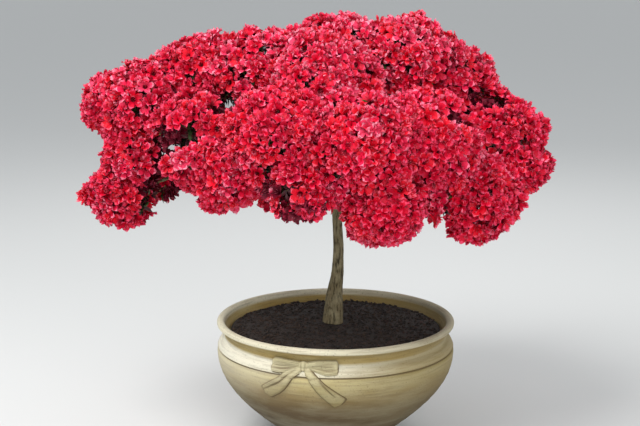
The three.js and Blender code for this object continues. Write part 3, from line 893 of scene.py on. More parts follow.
@dataclass
class Frame:
    """The wood that carries the crown: a bent, flared stem and a tapering limb to each mass."""

    masses: list[Mass]
    soil_top: float = 290.3
    trunk_radius: float = 14.8
    trunk_tip_radius: float = 10.5
    flare: float = 11.0
    flare_height: float = 105.0
    limb_radius: float = 8.5
    branch_radius: float = 6.2
    limb_tip_radius: float = 4.0
    limb_rise: float = 0.62
    collar: float = 0.35
    collar_length: float = 0.06
    limb_pull: tuple[float, float] = (0.38, 0.3)
    ridge_size: tuple[float, float] = (7, 34)
    ridge_relief: float = 0.05
    knot_size: tuple[float, float] = (26, 60)
    knot_relief: float = 0.08
    bark_sink: float = 0.02
    bends: tuple[tuple[float, float], ...] = (
        (-6, 290), (-3, 347), (5, 421), (7, 480), (5, 528), (1, 590), (-2, 650), (0, 705),
    )

    def trunk_path(self) -> np.ndarray:
        """Draws the stem's middle line from the compost to its tip.

        Returns:
            Its points.
        """
        sideways, heights = (np.array(column, dtype=float) for column in zip(*self.bends))
        slopes = np.gradient(sideways, heights)
        fine = np.linspace(self.soil_top, heights[-1], 120)
        index = np.clip(np.searchsorted(heights, fine) - 1, 0, len(heights) - 2)
        span = heights[index + 1] - heights[index]
        t = (fine - heights[index]) / span
        x = (
            (2 * t**3 - 3 * t**2 + 1) * sideways[index]
            + (t**3 - 2 * t**2 + t) * span * slopes[index]
            + (3 * t**2 - 2 * t**3) * sideways[index + 1]
            + (t**3 - t**2) * span * slopes[index + 1]
        )
        return np.stack([x, np.zeros_like(x), fine], axis=1)

    def trunk_at(self, height: float) -> np.ndarray:
        """Gives the point of the stem's middle line at a height."""
        path = self.trunk_path()
        return path[int(np.argmin(np.abs(path[:, 2] - height)))]

    def limb_paths(self) -> dict[str, np.ndarray]:
        """Draws each limb from what bears it to its mass.

        Returns:
            Each mass's limb as points, by the mass's name.
        """
        paths: dict[str, np.ndarray] = {}
        for mass in self.masses:
            from_trunk = mass.bearer == "trunk"
            start = self.trunk_at(mass.at) if from_trunk else along(paths[mass.bearer], mass.at)[0]
            way = unit((start - mass.middle) / SQUASH)
            foot = mass.at_reach(way, mass.core_reach(way))
            end = foot + 3 * self.limb_tip_radius * unit(way * SQUASH)
            span = float(np.linalg.norm(end - start))
            outward = unit((end - start) * [1, 1, 0])
            leave = unit(outward * (1 - self.limb_rise / 2) + [0, 0, self.limb_rise])
            if not from_trunk:
                leave = unit(0.5 * leave + 0.5 * unit(end - start))
            arrive = unit(mass.middle - end)
            out, back = (pull * span for pull in self.limb_pull)
            paths[mass.name] = bezier([start, start + out * leave, end - back * arrive, end])
        return paths

    def bark(self, point: np.ndarray, size: float) -> float:
        """Tells how far the bark stands out at a point, in millimetres.

        Args:
            point: The point, in millimetres.
            size: The radius of the wood there.

        Returns:
            The relief.
        """
        x, y, z = point
        across, long = self.ridge_size
        ridges = noise.fractal(Vector((x / across, y / across, z / long)), 0.8, 2.1, 4)
        across, long = self.knot_size
        knots = noise.noise(Vector((x / across, y / across, z / long)))
        return size * (self.ridge_relief * ridges + self.knot_relief * knots)

    def trunk_radius_at(self, height: float, angle: float) -> float:
        """Gives the stem's radius at a height and an angle, without its bark."""
        share = (height - self.soil_top) / (self.bends[-1][1] - self.soil_top)
        taper = self.trunk_radius + (self.trunk_tip_radius - self.trunk_radius) * share
        flare = self.flare * math.exp(-(((height - self.soil_top) / self.flare_height) ** 2))
        ribs = 1 + (0.03 + 0.05 * flare / self.flare) * math.sin(3 * angle + 2 * share)
        return (taper + flare) * ribs

    def build_trunk(self, finish: Material) -> None:
        """Makes the stem with its bark's relief.

        Args:
            finish: The bark.
        """
        rod = RodStock(sides=56, rings=200)
        path = self.trunk_path()
        heights = [along(path, i / (rod.rings - 1))[0][2] for i in range(rod.rings)]

        def radius(share: float, angle: float) -> float:
            """Gives the stem's radius with its bark."""
            height = heights[int(round(share * (rod.rings - 1)))]
            bare = self.trunk_radius_at(height, angle)
            place = np.array([bare * math.cos(angle), bare * math.sin(angle), height])
            return bare + self.bark(place, bare) - self.bark_sink * bare

        heap = Heap()
        points = rod.bend(path, radius)
        points[:, 2] = np.maximum(points[:, 2], self.soil_top)
        heap.add_plain(points, rod.shape.faces)
        piece = heap.piece("stem", [finish], Slot.BARK)
        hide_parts("trunk")

    def build_limbs(self, paths: dict[str, np.ndarray], finish: Material) -> None:
        """Makes the limbs with their bark's relief.

        Args:
            paths: What limb_paths() gave.
            finish: The bark.
        """
        rod = RodStock(sides=12, rings=28)
        heap = Heap()
        for mass in self.masses:
            path = paths[mass.name]
            foot = self.limb_radius if mass.bearer == "trunk" else self.branch_radius

            def radius(share: float, angle: float) -> float:
                """Gives the limb's radius with its bark, and its collar where it starts."""
                bare = foot + (self.limb_tip_radius - foot) * share
                middle = along(path, share)[0]
                place = middle + [bare * math.cos(angle), bare * math.sin(angle), 0]
                collar = self.collar * foot * math.exp(-((share / self.collar_length) ** 2))
                return bare + collar + self.bark(place, bare)

            heap.add_plain(rod.bend(path, radius), rod.shape.faces)
        piece = heap.piece("limbs", [finish], Slot.BARK)
        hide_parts(*(f"limb_{mass.name}" for mass in self.masses))


@dataclass(frozen=True)
class FlowerForm:
    """One azalea flower in millimetres: five wavy petals that part from a short tube, and stamens."""

    petals: int = 5
    radius: float = 23.0
    throat: float = 2.2
    tube_radius: float = 5.0
    depth: float = 17.0
    rise: float = 3.0
    curl: float = 2.0
    ruffle: float = 3.0
    cup: float = 2.4
    uneven: float = 1.2
    heart_to: float = 0.2
    # The outer share of each petal, whose paler margin finish is a painted highlight on its edge
    margin_from: float = 0.74
    stamens: int = 4
    stamen_radius: float = 0.75
    stamen_reach: float = 1.35
    stamen_lean: tuple[float, float] = (0.1, 0.24)
    parting: tuple[float, float] = (0.34, 0.66)
    waves: float = 4.4
    slant: float = 5.0
    rows: tuple[float, ...] = (0.0, 0.34, 0.62, 0.86, 1.0)
    half_angles: tuple[float, ...] = (36.0, 37.0, 35.0, 25.0, 5.0)

    def petal(self, bm: BMesh, turn: float, rng: np.random.Generator) -> None:
        """Shapes one petal from a grid.

        Args:
            bm: The flower.
            turn: The petal's bearing about the flower's axis, in radians.
            rng: Random numbers.
        """
        columns, rows = 3, len(self.rows) - 1
        parts_at, parts_over = self.parting
        phase, lift = rng.uniform(0, 6), rng.uniform(-self.uneven, self.uneven)
        grid = bmesh.ops.create_grid(bm, x_segments=columns, y_segments=rows, size=1.0)["verts"]
        for vert in grid:
            side = vert.co.x
            row = int(round((vert.co.y + 1) / 2 * rows))
            t = self.rows[row]
            angle = turn + side * math.radians(self.half_angles[row])
            curve = (2 * t * (1 - t) * self.tube_radius + t * t * self.radius) + (1 - t) ** 2 * self.throat
            rise = 2 * t * (1 - t) * self.depth + t * t * (self.depth + self.rise - self.curl)
            open_share = max(0.0, (t - parts_at) / parts_over)
            wave = self.ruffle * open_share * math.sin(self.waves * side + self.slant * t + phase)
            cup = self.cup * open_share * side * side
            shorter = 1 - 0.05 * side * side * open_share
            radius = curve * shorter
            height = rise + wave + cup + lift * open_share
            vert.co = Vector((radius * math.cos(angle), radius * math.sin(angle), height)) * MM
        for face in {f for v in grid for f in v.link_faces}:
            reaches = [math.hypot(v.co.x, v.co.y) for v in face.verts]
            face.material_index = self.zone(sum(reaches) / len(reaches) / (self.radius * MM)).value

    def zone(self, reach: float) -> Zone:
        """Tells which zone of the flower lies at a share of its radius."""
        if reach < self.heart_to:
            return Zone.HEART
        return Zone.MARGIN if reach > self.margin_from else Zone.BLADE

    def stock(self, seed: int) -> Stock:
        """Makes the flower, opening along +Z from its foot at the origin.

        Args:
            seed: Which flower of this form it is.

        Returns:
            The flower.
        """
        rng = np.random.default_rng(seed)
        bm = bmesh.new()
        for index in range(self.petals):
            self.petal(bm, 2 * math.pi * index / self.petals, rng)
        bmesh.ops.remove_doubles(bm, verts=bm.verts[:], dist=0.25 * MM)
        for index in range(self.stamens):
            angle = 2 * math.pi * (index + 0.5) / self.stamens
            lean = rng.uniform(*self.stamen_lean)
            length = self.depth * self.stamen_reach * MM
            spike = bmesh.ops.create_cone(
                bm, cap_ends=False, segments=3, radius1=0.0, radius2=self.stamen_radius * MM, depth=length
            )["verts"]
            bmesh.ops.translate(bm, verts=spike, vec=(0, 0, self.depth * 0.68 * MM))
            bmesh.ops.rotate(bm, verts=spike, matrix=Euler((0, lean, angle)).to_matrix(), cent=(0, 0, 0))
            for face in {f for v in spike for f in v.link_faces}:
                face.material_index = Zone.STAMEN.value
            bmesh.ops.remove_doubles(bm, verts=spike, dist=0.05 * MM)
        return Stock.from_bmesh(bm)


@dataclass(frozen=True)
class LeafForm:
    """A small pointed leaf in millimetres, folded a little along its rib."""

    length: float = 30.0
    width: float = 11.0
    fold: float = 0.25
    droop: float = 5.0

    def stock(self) -> Stock:
        """Makes the leaf, lying along +X from its foot at the origin.

        Returns:
            The leaf.
        """
        bm = bmesh.new()
        grid = bmesh.ops.create_grid(bm, x_segments=3, y_segments=2, size=1.0)["verts"]
        for vert in grid:
            t = (vert.co.x + 1) / 2
            side = vert.co.y
            half = self.width / 2 * math.sin(math.pi * t**0.85)
            height = abs(side) * half * self.fold * 2 - self.droop * t * t
            vert.co = Vector((t * self.length, side * half, height)) * MM
        bmesh.ops.remove_doubles(bm, verts=bm.verts[:], dist=0.2 * MM)
        return Stock.from_bmesh(bm)


@dataclass
class Shoot:
    """A twig's tip that carries a truss of flowers, a whorl of leaves or both."""

    mass: Mass
    tip: np.ndarray
    axis: np.ndarray
    flowers: int
    leaves: int
    root: np.ndarray | None = None
    shade: float = 0.0


def basis(axis: np.ndarray, turn: float) -> np.ndarray:
    """Gives a turned frame whose third column is an axis.

    Args:
        axis: A unit vector.
        turn: The turn about it, in radians.

    Returns:
        The 3 by 3 matrix.
    """
    side = np.cross([0.0, 0.0, 1.0], axis)
    side = unit(side) if np.linalg.norm(side) > 0.1 else unit(np.cross([1.0, 0.0, 0.0], axis))
    other = np.cross(axis, side)
    u = math.cos(turn) * side + math.sin(turn) * other
    return np.stack([u, np.cross(axis, u), axis], axis=1)


@dataclass(frozen=True)
class Hollow:
    """A place where the crown falls back into shade, or is clear right through, in millimetres.

    Its shoots keep the share kept of their reach, and the share shade of their flowers takes the dark
    shaded tint, which is painted shade; a clear one has no shoots.
    """

    mouth: tuple[float, float, float]
    inner: tuple[float, float, float]
    radius: float
    kept: float = 0.72
    shade: float = 1.0
    clear: bool = False

    def holds(self, point: np.ndarray) -> bool:
        """Tells whether a point lies in the hollow."""
        start, way = np.array(self.mouth), np.subtract(self.inner, self.mouth)
        share = np.clip((point - start) @ way / (way @ way), -0.6, 1)
        return bool(np.linalg.norm(point - start - share * way) < self.radius)


@dataclass
class Crown:
    """The blossom, leaves and twigs of every mass, grown by the masses' own rule."""

    masses: list[Mass]

    # How far apart the shoots of a mass are, and how far they reach
    spacing: float = 45.0
    stray: float = 0.07
    flower_reach: float = 25.0
    wall_gap: float = 3.0
    crest_reach: float = 0.93
    valley_reach: float = 1.05
    valley_width: float = 0.4
    lump: float = 0.07
    lump_width: float = 55.0
    reach_stray: float = 0.035
    leafy_reach: float = 0.86
    pull_back: float = 0.8
    ceiling: float = 1041.0

    # What a shoot bears
    truss_axis: tuple[float, float, float] = (0.66, 0.34, 0.2)
    truss_stray: float = 0.12
    truss_sizes: tuple[int, ...] = (3, 3, 4, 4, 5)
    whorl: tuple[int, int] = (3, 6)
    inner_stray: float = 0.3
    inner_leaves: int = 11
    bare_share: float = 0.3
    spur_start: float = 0.4
    spur_end: float = 0.97
    spur_spacing: float = 22.0
    spur_length: tuple[float, float] = (25, 60)
    spur_leaves: tuple[int, int] = (5, 9)

    # How its flowers stand, and which form and tint they have
    masses_to_a_piece: int = 3
    flower_lean: tuple[float, float] = (24, 50)
    flower_stray: float = 0.25
    flower_size: tuple[float, float] = (0.92, 1.12)
    flower_stalk: float = 4.0
    forms: tuple[tuple[float, FlowerForm], ...] = (
        (0.2, FlowerForm()),
        (0.2, FlowerForm(radius=24.0, curl=4.0, ruffle=3.8)),
        (0.18, FlowerForm(radius=21.5, curl=0.0, ruffle=3.4, depth=18.0)),
        (0.18, FlowerForm(radius=22.5, curl=3.0, ruffle=4.4)),
        (0.08, FlowerForm(radius=17.5, curl=-3.5, ruffle=2.8, depth=20.0)),
        (0.16, FlowerForm(radius=23.5, curl=5.5, ruffle=3.2, depth=16.0)),
    )
    tints: int = 5
    spray_share: float = 0.6
    # The upper crown takes paler tints, partly as painted light from above and partly as sun-bleaching
    low_tints: tuple[float, ...] = (0.36, 0.30, 0.10, 0.23, 0.01)
    high_tints: tuple[float, ...] = (0.20, 0.10, 0.28, 0.16, 0.26)
    lit_and_bleached_from: float = 830.0
    lit_and_bleached_to: float = 990.0

    # How its leaves stand
    leaf_stray: float = 0.3
    leaf_rise: tuple[float, float] = (-0.2, 0.7)
    leaf_size: tuple[float, float] = (0.7, 1.15)
    leafy_length: float = 26.0
    leafy_length_inside: float = 44.0
    outer_tones: tuple[float, ...] = (0.35, 0.3, 0.1, 0.25)
    # Inner leaves are mostly deep green and bronze, partly as painted shade for the dark inside of the
    # crown
    inner_tones: tuple[float, ...] = (0.08, 0.27, 0.0, 0.65)

    # The wood inside a mass
    spur_radii: tuple[float, float] = (1.6, 1.0)
    stem_radii: tuple[float, float] = (4.0, 3.6)
    bough_radii: tuple[float, float] = (3.4, 2.0)
    twig_radii: tuple[float, float] = (1.7, 1.1)
    boughs: int = 7
    bough_reach: float = 0.72
    bough_arch: float = 0.08
    fork_reach: float = 0.35
    twigs_from: tuple[float, ...] = (0.55, 0.8, 1.0)

    # Where the crown opens, and the trusses that fill it out
    hollows: tuple[Hollow, ...] = (
        Hollow((-370, -350, 801), (-404, -50, 760), 34),
        Hollow((-326, -350, 814), (-355, -50, 774), 34),
        Hollow((-388, -350, 766), (-424, -50, 720), 26),
        Hollow((-413, -250, 716), (-437, -50, 683), 24),
        Hollow((-429, -250, 681), (-455, -50, 646), 26),
        Hollow((-370, -250, 676), (-408, 100, 615), 22),
        Hollow((-433, -250, 854), (-458, -50, 831), 13),
        Hollow((317, -150, 875), (345, 100, 849), 27),
        Hollow((355, -150, 859), (386, 100, 831), 21),
        Hollow((266, -330, 850), (295, -50, 816), 20),
        Hollow((304, -250, 840), (327, -50, 816), 18),
        Hollow((-304, -350, 810), (-331, -50, 769), 26, kept=0.85),
        Hollow((-393, -350, 759), (-429, -50, 713), 26, kept=0.85),
        Hollow((-232, -420, 889), (-260, 0, 842), 40),
        Hollow((-119, -420, 686), (-127, -150, 637), 42, kept=0.95, shade=0.5),
        Hollow((-83, -420, 657), (-87, -150, 606), 36, kept=0.95, shade=0.5),
        Hollow((-234, -420, 884), (-300, 550, 775), 30, clear=True),
        Hollow((-360, -420, 791), (-470, 550, 651), 24, clear=True),
        Hollow((-531, -420, 835), (-699, 550, 709), 30, clear=True),
        Hollow((-532, -420, 752), (-700, 550, 598), 30, clear=True),
        Hollow((451, -420, 710), (618, 550, 541), 28, clear=True),
        Hollow((379, -420, 611), (522, 550, 409), 26, clear=True),
        Hollow((-370, -420, 667), (-480, 550, 485), 41, clear=True),
    )
    trusses: tuple[tuple[str, tuple[float, float, float]], ...] = (
        ("tail_left", (-602, -35, 624)),
        ("cheek_left", (-606, 68, 812)),
        ("flank_right", (486, -63, 797)),
        ("tip_right", (493, -111, 713)),
        ("shoulder_right", (355, 10, 938)),
        ("top_right", (258, -58, 999)),
        ("shoulder_left", (-413, 22, 954)),
        ("crest_left", (-289, -20, 1000)),
        ("skirt_left", (-283, -297, 661)),
        ("skirt_left", (-262, -297, 658)),
        ("skirt_mid", (-152, -330, 671)),
        ("skirt_right", (47, -376, 612)),
        ("skirt_far", (408, -230, 641)),
        ("skirt_far", (211, -310, 659)),
        ("skirt_far", (225, -310, 643)),
        ("skirt_right", (203, -330, 637)),
        ("flank_right", (403, -150, 785)),
        ("skirt_far", (185, -345, 727)),
        ("skirt_far", (230, -320, 668)),
        ("brow_left", (-416, -110, 873)),
        ("brow_left", (-489, -108, 821)),
        ("top_right", (132, -136, 895)),
        ("top_right", (137, -138, 925)),
        ("top_front", (1, -298, 942)),
        ("flank_front", (192, -365, 856)),
        ("front_mid", (-76, -432, 834)),
        ("skirt_far", (235, -275, 680)),
        ("inner_left", (-475, 20, 585)),
        ("inner_left", (-468, 0, 612)),
        ("front_right", (136, -185, 876)),
        ("flank_front", (173, -169, 873)),
        ("flank_front", (213, -158, 872)),
        ("flank_front", (246, -135, 856)),
        ("back_right", (130, 160, 850)),
    )
    shoots: list[Shoot] = field(default_factory=list)

    def grow(self) -> None:
        """Finds where the shoots of every mass end."""
        for mass in self.masses:
            rng = np.random.default_rng(7919 * mass.seed + 17)
            count = round(4 * math.pi * (mass.size / self.spacing) ** 2)
            for index in range(count):
                z = 1 - (2 * index + 1) / count
                ring = math.sqrt(1 - z * z)
                angle = index * GOLDEN_ANGLE + mass.seed
                direction = np.array([ring * math.cos(angle), ring * math.sin(angle), z])
                direction = unit(direction + rng.normal(0, self.stray, 3))
                self._shoot(mass, direction, rng)
        by_name = {mass.name: mass for mass in self.masses}
        for name, tip in self.trusses:
            way = unit(np.array(tip) - by_name[name].middle)
            self.shoots.append(Shoot(by_name[name], np.array(tip, dtype=float), way, flowers=5, leaves=4))

    def _shoot(self, mass: Mass, direction: np.ndarray, rng: np.random.Generator) -> None:
        """Adds one shoot where it stays in its mass's space.

        Args:
            mass: The mass.
            direction: Where the shoot goes from the mass's middle.
            rng: Random numbers.
        """
        facing = float(direction @ mass.outward)
        bloom = facing > mass.bloom_from
        valley = max(0.0, 1 - (mass.to_wall(direction) / mass.size - 1) / self.valley_width)
        fill = self.crest_reach + (self.valley_reach - self.crest_reach) * min(valley, 1.0) ** 1.5
        lump = self.lump * noise.noise(Vector(mass.at_reach(direction, mass.size) / self.lump_width))
        share = (fill + lump + rng.uniform(-self.reach_stray, self.reach_stray)) * mass.swell(direction)
        full = mass.size * min(share, self.valley_reach) - self.flower_reach
        reach = min(full, mass.to_wall(direction, self.wall_gap))
        tip = mass.at_reach(direction, reach)
        if reach < self.pull_back * full or self._hollow_at(tip, clear=True):
            return
        hollow = self._hollow_at(tip, clear=False)
        if hollow:
            bloom = rng.random() > self.bare_share
            reach *= hollow.kept
        elif not bloom:
            reach *= self.leafy_reach
        tip = mass.at_reach(direction, reach)
        tip[2] = min(tip[2], self.ceiling)
        if bloom:
            onward, outward, upward = self.truss_axis
            lean = direction * SQUASH * onward + mass.outward * outward + [0, 0, upward]
            axis = unit(lean + rng.normal(0, self.truss_stray, 3))
            flowers, leaves = int(rng.choice(self.truss_sizes)), int(rng.integers(*self.whorl))
        else:
            axis = unit(direction + rng.normal(0, self.inner_stray, 3))
            flowers, leaves = 0, self.inner_leaves
        self.shoots.append(Shoot(mass, tip, axis, flowers, leaves, shade=hollow.shade if hollow else 0.0))

    def _hollow_at(self, point: np.ndarray, clear: bool) -> Hollow | None:
        """Finds the clear hollow, or the shaded one, that a point lies in."""
        return next((h for h in self.hollows if h.clear == clear and h.holds(point)), None)

    def grow_spurs(self, paths: dict[str, np.ndarray]) -> None:
        """Adds short leafy shoots that grow straight from the limbs inside the crown.

        Args:
            paths: The limbs.
        """
        rng = np.random.default_rng(404)
        for mass in self.masses:
            path = paths[mass.name]
            count = round(np.linalg.norm(path[-1] - path[0]) * (1 - self.spur_start) / self.spur_spacing)
            for share in rng.uniform(self.spur_start, self.spur_end, count):
                root, way = along(path, share)
                aside = rng.normal(0, 1, 3) + [0, 0, 0.4]
                axis = unit(aside - way * way.dot(aside) + 0.5 * way)
                tip = root + rng.uniform(*self.spur_length) * axis
                leaves = int(rng.integers(*self.spur_leaves))
                if not self._hollow_at(tip, clear=True):
                    self.shoots.append(Shoot(mass, tip, axis, flowers=0, leaves=leaves, root=root))

    def build_blossom(self, finishes: Sequence[Material]) -> None:
        """Makes the flowers, one piece to each few masses.

        Args:
            finishes: The materials of the zones, with a blade and a margin for each tint.
        """
        stocks = [form.stock(seed) for seed, (_, form) in enumerate(self.forms)]
        for first in range(0, len(self.masses), self.masses_to_a_piece):
            group = self.masses[first : first + self.masses_to_a_piece]
            rng = np.random.default_rng(500 + first)
            shoots = [s for s in self.shoots if s.mass in group and s.flowers]
            placings = Placings()
            for shoot in shoots:
                self._open_truss(shoot, placings, rng)
            heap = Heap()
            placings.spread(heap, stocks)
            piece = heap.piece(f"blossom_{group[0].name}", finishes, Slot.BLOSSOM)
            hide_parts(*(f"mass_{mass.name}" for mass in group))
            LOG.info("%s: %d flowers on %d shoots", piece.name, len(placings.picks), len(shoots))

    def _open_truss(self, shoot: Shoot, placings: Placings, rng: np.random.Generator) -> None:
        """Opens a shoot's flowers round its tip, most of them in one tint.

        Args:
            shoot: The shoot.
            placings: Where the flowers are noted.
            rng: Random numbers.
        """
        shares = [share for share, _ in self.forms]
        chances = self._tint_chances(shoot.tip[2])
        spray_tint = rng.choice(self.tints, p=chances)
        phase = rng.uniform(0, 2 * math.pi)
        for index in range(shoot.flowers):
            lean = math.radians(rng.uniform(*self.flower_lean))
            around = phase + 2 * math.pi * index / shoot.flowers + rng.normal(0, self.flower_stray)
            frame = basis(shoot.axis, around)
            axis = unit(math.cos(lean) * frame[:, 2] + math.sin(lean) * frame[:, 0])
            size = rng.uniform(*self.flower_size)
            turn = basis(axis, rng.uniform(0, 2 * math.pi)) * size
            pick = rng.choice(len(shares), p=shares)
            tint = spray_tint if rng.random() < self.spray_share else rng.choice(self.tints, p=chances)
            # Painted shade: flowers in a hollow take the dark shaded tint
            if shoot.shade and rng.random() < shoot.shade:
                tint = self.tints
            placings.note(pick, turn, shoot.tip + self.flower_stalk * axis, shift=2 * tint)

    def _tint_chances(self, height: float) -> np.ndarray:
        """Gives each tint's chance at a height: the flowers at the top of the crown are paler, partly as
        painted light from above and partly as sun-bleaching.
        """
        high = np.clip((height - self.lit_and_bleached_from) / (self.lit_and_bleached_to - self.lit_and_bleached_from), 0, 1)
        return (1 - high) * np.array(self.low_tints) + high * np.array(self.high_tints)

    def build_leaves(self, finishes: Sequence[Material]) -> None:
        """Makes the leaves that stand in whorls under the flowers and on the inner shoots.

        Args:
            finishes: The leaf materials.
        """
        rng = np.random.default_rng(77)
        leaf = LeafForm().stock()
        tones = range(len(finishes))
        placings = Placings()
        for shoot in self.shoots:
            # Shoots inside the crown and in hollows take the darker inner tones, partly as painted shade
            inner = shoot.shade > 0 or not shoot.flowers
            for index in range(shoot.leaves):
                spin = 2 * math.pi * index / shoot.leaves + rng.normal(0, self.leaf_stray)
                rise = rng.uniform(*self.leaf_rise)
                frame = basis(shoot.axis, spin)
                x = unit(math.cos(rise) * frame[:, 0] + math.sin(rise) * frame[:, 2])
                y = frame[:, 1]
                back = rng.uniform(2, self.leafy_length if shoot.flowers else self.leafy_length_inside)
                turn = np.stack([x, y, np.cross(x, y)], axis=1) * rng.uniform(*self.leaf_size)
                tone = rng.choice(len(tones), p=self.inner_tones if inner else self.outer_tones)
                placings.note(tone, turn, shoot.tip - back * shoot.axis)
        leaves = [Stock(leaf.points, leaf.faces, np.full(len(leaf.faces), tone)) for tone in tones]
        heap = Heap()
        placings.spread(heap, leaves)
        heap.piece("leaves", finishes, Slot.BLOSSOM)

    def build_twigs(self, paths: dict[str, np.ndarray], finish: Material) -> None:
        """Makes the twigs: from each limb's tip a stem, boughs that fork from it, and a twig to each shoot.

        Args:
            paths: The limbs.
            finish: The twigs' bark.
        """
        thick, thin = RodStock(sides=7, rings=8), RodStock(sides=3, rings=5)
        heap = Heap()
        for mass in self.masses:
            shoots = [s for s in self.shoots if s.mass is mass and s.root is None]
            for spur in (s for s in self.shoots if s.mass is mass and s.root is not None):
                thin.lay(heap, np.array([spur.root, spur.tip]), self.spur_radii)
            tip, way = along(paths[mass.name], 1.0)
            fork = tip + self.fork_reach * mass.size * way
            thick.lay(heap, np.array([tip - 6 * way, fork]), self.stem_radii)
            boughs = self._boughs(mass, fork, shoots)
            for bough in boughs:
                thick.lay(heap, bough, self.bough_radii)
            for shoot in shoots:
                starts = [along(bough, share) for bough in boughs for share in self.twigs_from]
                start, lead = min(starts, key=lambda s: np.linalg.norm(s[0] - shoot.tip))
                pull = 0.3 * np.linalg.norm(shoot.tip - start)
                end = shoot.tip + 3 * shoot.axis
                curve = bezier([start, start + pull * lead, shoot.tip - pull * shoot.axis, end], 12)
                thin.lay(heap, curve, self.twig_radii)
        heap.piece("twigs", [finish], Slot.BARK)

    def _boughs(self, mass: Mass, fork: np.ndarray, shoots: Sequence[Shoot]) -> list[np.ndarray]:
        """Spreads a few boughs from a mass's fork, each towards the middle of the shoots nearest to it.

        Args:
            mass: The mass.
            fork: Where its stem forks.
            shoots: Its shoots.

        Returns:
            The boughs' paths.
        """
        rng = np.random.default_rng(31 * mass.seed)
        tips = np.array([s.tip for s in shoots])
        centres = tips[rng.choice(len(tips), size=min(self.boughs, len(tips)), replace=False)]
        for _ in range(4):
            nearest = np.argmin(np.linalg.norm(tips[:, None] - centres[None], axis=2), axis=1)
            near = [tips[nearest == i] for i in range(len(centres))]
            centres = np.array([n.mean(axis=0) if len(n) else c for n, c in zip(near, centres)])
        boughs = []
        for centre in centres:
            end = fork + self.bough_reach * (centre - fork)
            run = end - fork
            arch = np.array([0, 0, self.bough_arch * np.linalg.norm(run)])
            boughs.append(bezier([fork, fork + 0.35 * run + arch, end - 0.3 * run + arch, end], 16))
        return boughs


@dataclass(frozen=True)
class Crease:
    """A fold along a ribbon: its place across it, where it starts and ends, and how deep it is."""

    side: float
    start: float = 0.0
    end: float = 1.0
    depth: float = 0.8
    width: float = 0.16
    end_side: float | None = None

    def sink(self, share: float, side: float) -> float:
        """Gives how far the fold sinks the ribbon at a place, from 0 to 1."""
        if not self.start <= share <= self.end:
            return 0.0
        run = (share - self.start) / (self.end - self.start)
        middle = self.side if self.end_side is None else self.side + (self.end_side - self.side) * run
        fade = math.sin(math.pi * min(max(run, 0.02), 0.98)) ** 0.4
        return self.depth * fade * math.exp(-(((side - middle) / self.width) ** 2))


@dataclass(frozen=True)
class Ribbon:
    """One band of the bow, in millimetres over the bowl's shoulder."""

    line: tuple[tuple[float, float], ...]
    widths: tuple[float, ...]
    creases: tuple[Crease, ...]
    end_slant: float = 0.0
    end_round: float = 0.0
    shaded_side: float = -1.0

    def sample(self, share: float) -> tuple[np.ndarray, np.ndarray, float]:
        """Gives the middle line's point and direction and the half width at a share of the band."""
        fine = smooth_line(np.array(self.line, dtype=float))
        middle, way = along(np.column_stack([fine, np.zeros(len(fine))]), share)
        half = np.interp(share * (len(self.widths) - 1), range(len(self.widths)), self.widths) / 2
        return middle[:2], way[:2], float(half)


def smooth_line(points: np.ndarray, samples: int = 12) -> np.ndarray:
    """Draws a smooth line through points in a plane.

    Args:
        points: The points.
        samples: How many points it gets between two of them.

    Returns:
        The line's points.
    """
    padded = np.vstack([2 * points[0] - points[1], points, 2 * points[-1] - points[-2]])
    out = []
    for index in range(1, len(padded) - 2):
        a, b, c, d = padded[index - 1 : index + 3]
        slope, turn, twist = c - a, 2 * a - 5 * b + 4 * c - d, 3 * b - a - 3 * c + d
        for t in np.linspace(0, 1, samples, endpoint=False):
            out.append(0.5 * (2 * b + slope * t + turn * t**2 + twist * t**3))
    out.append(points[-1])
    return np.array(out)


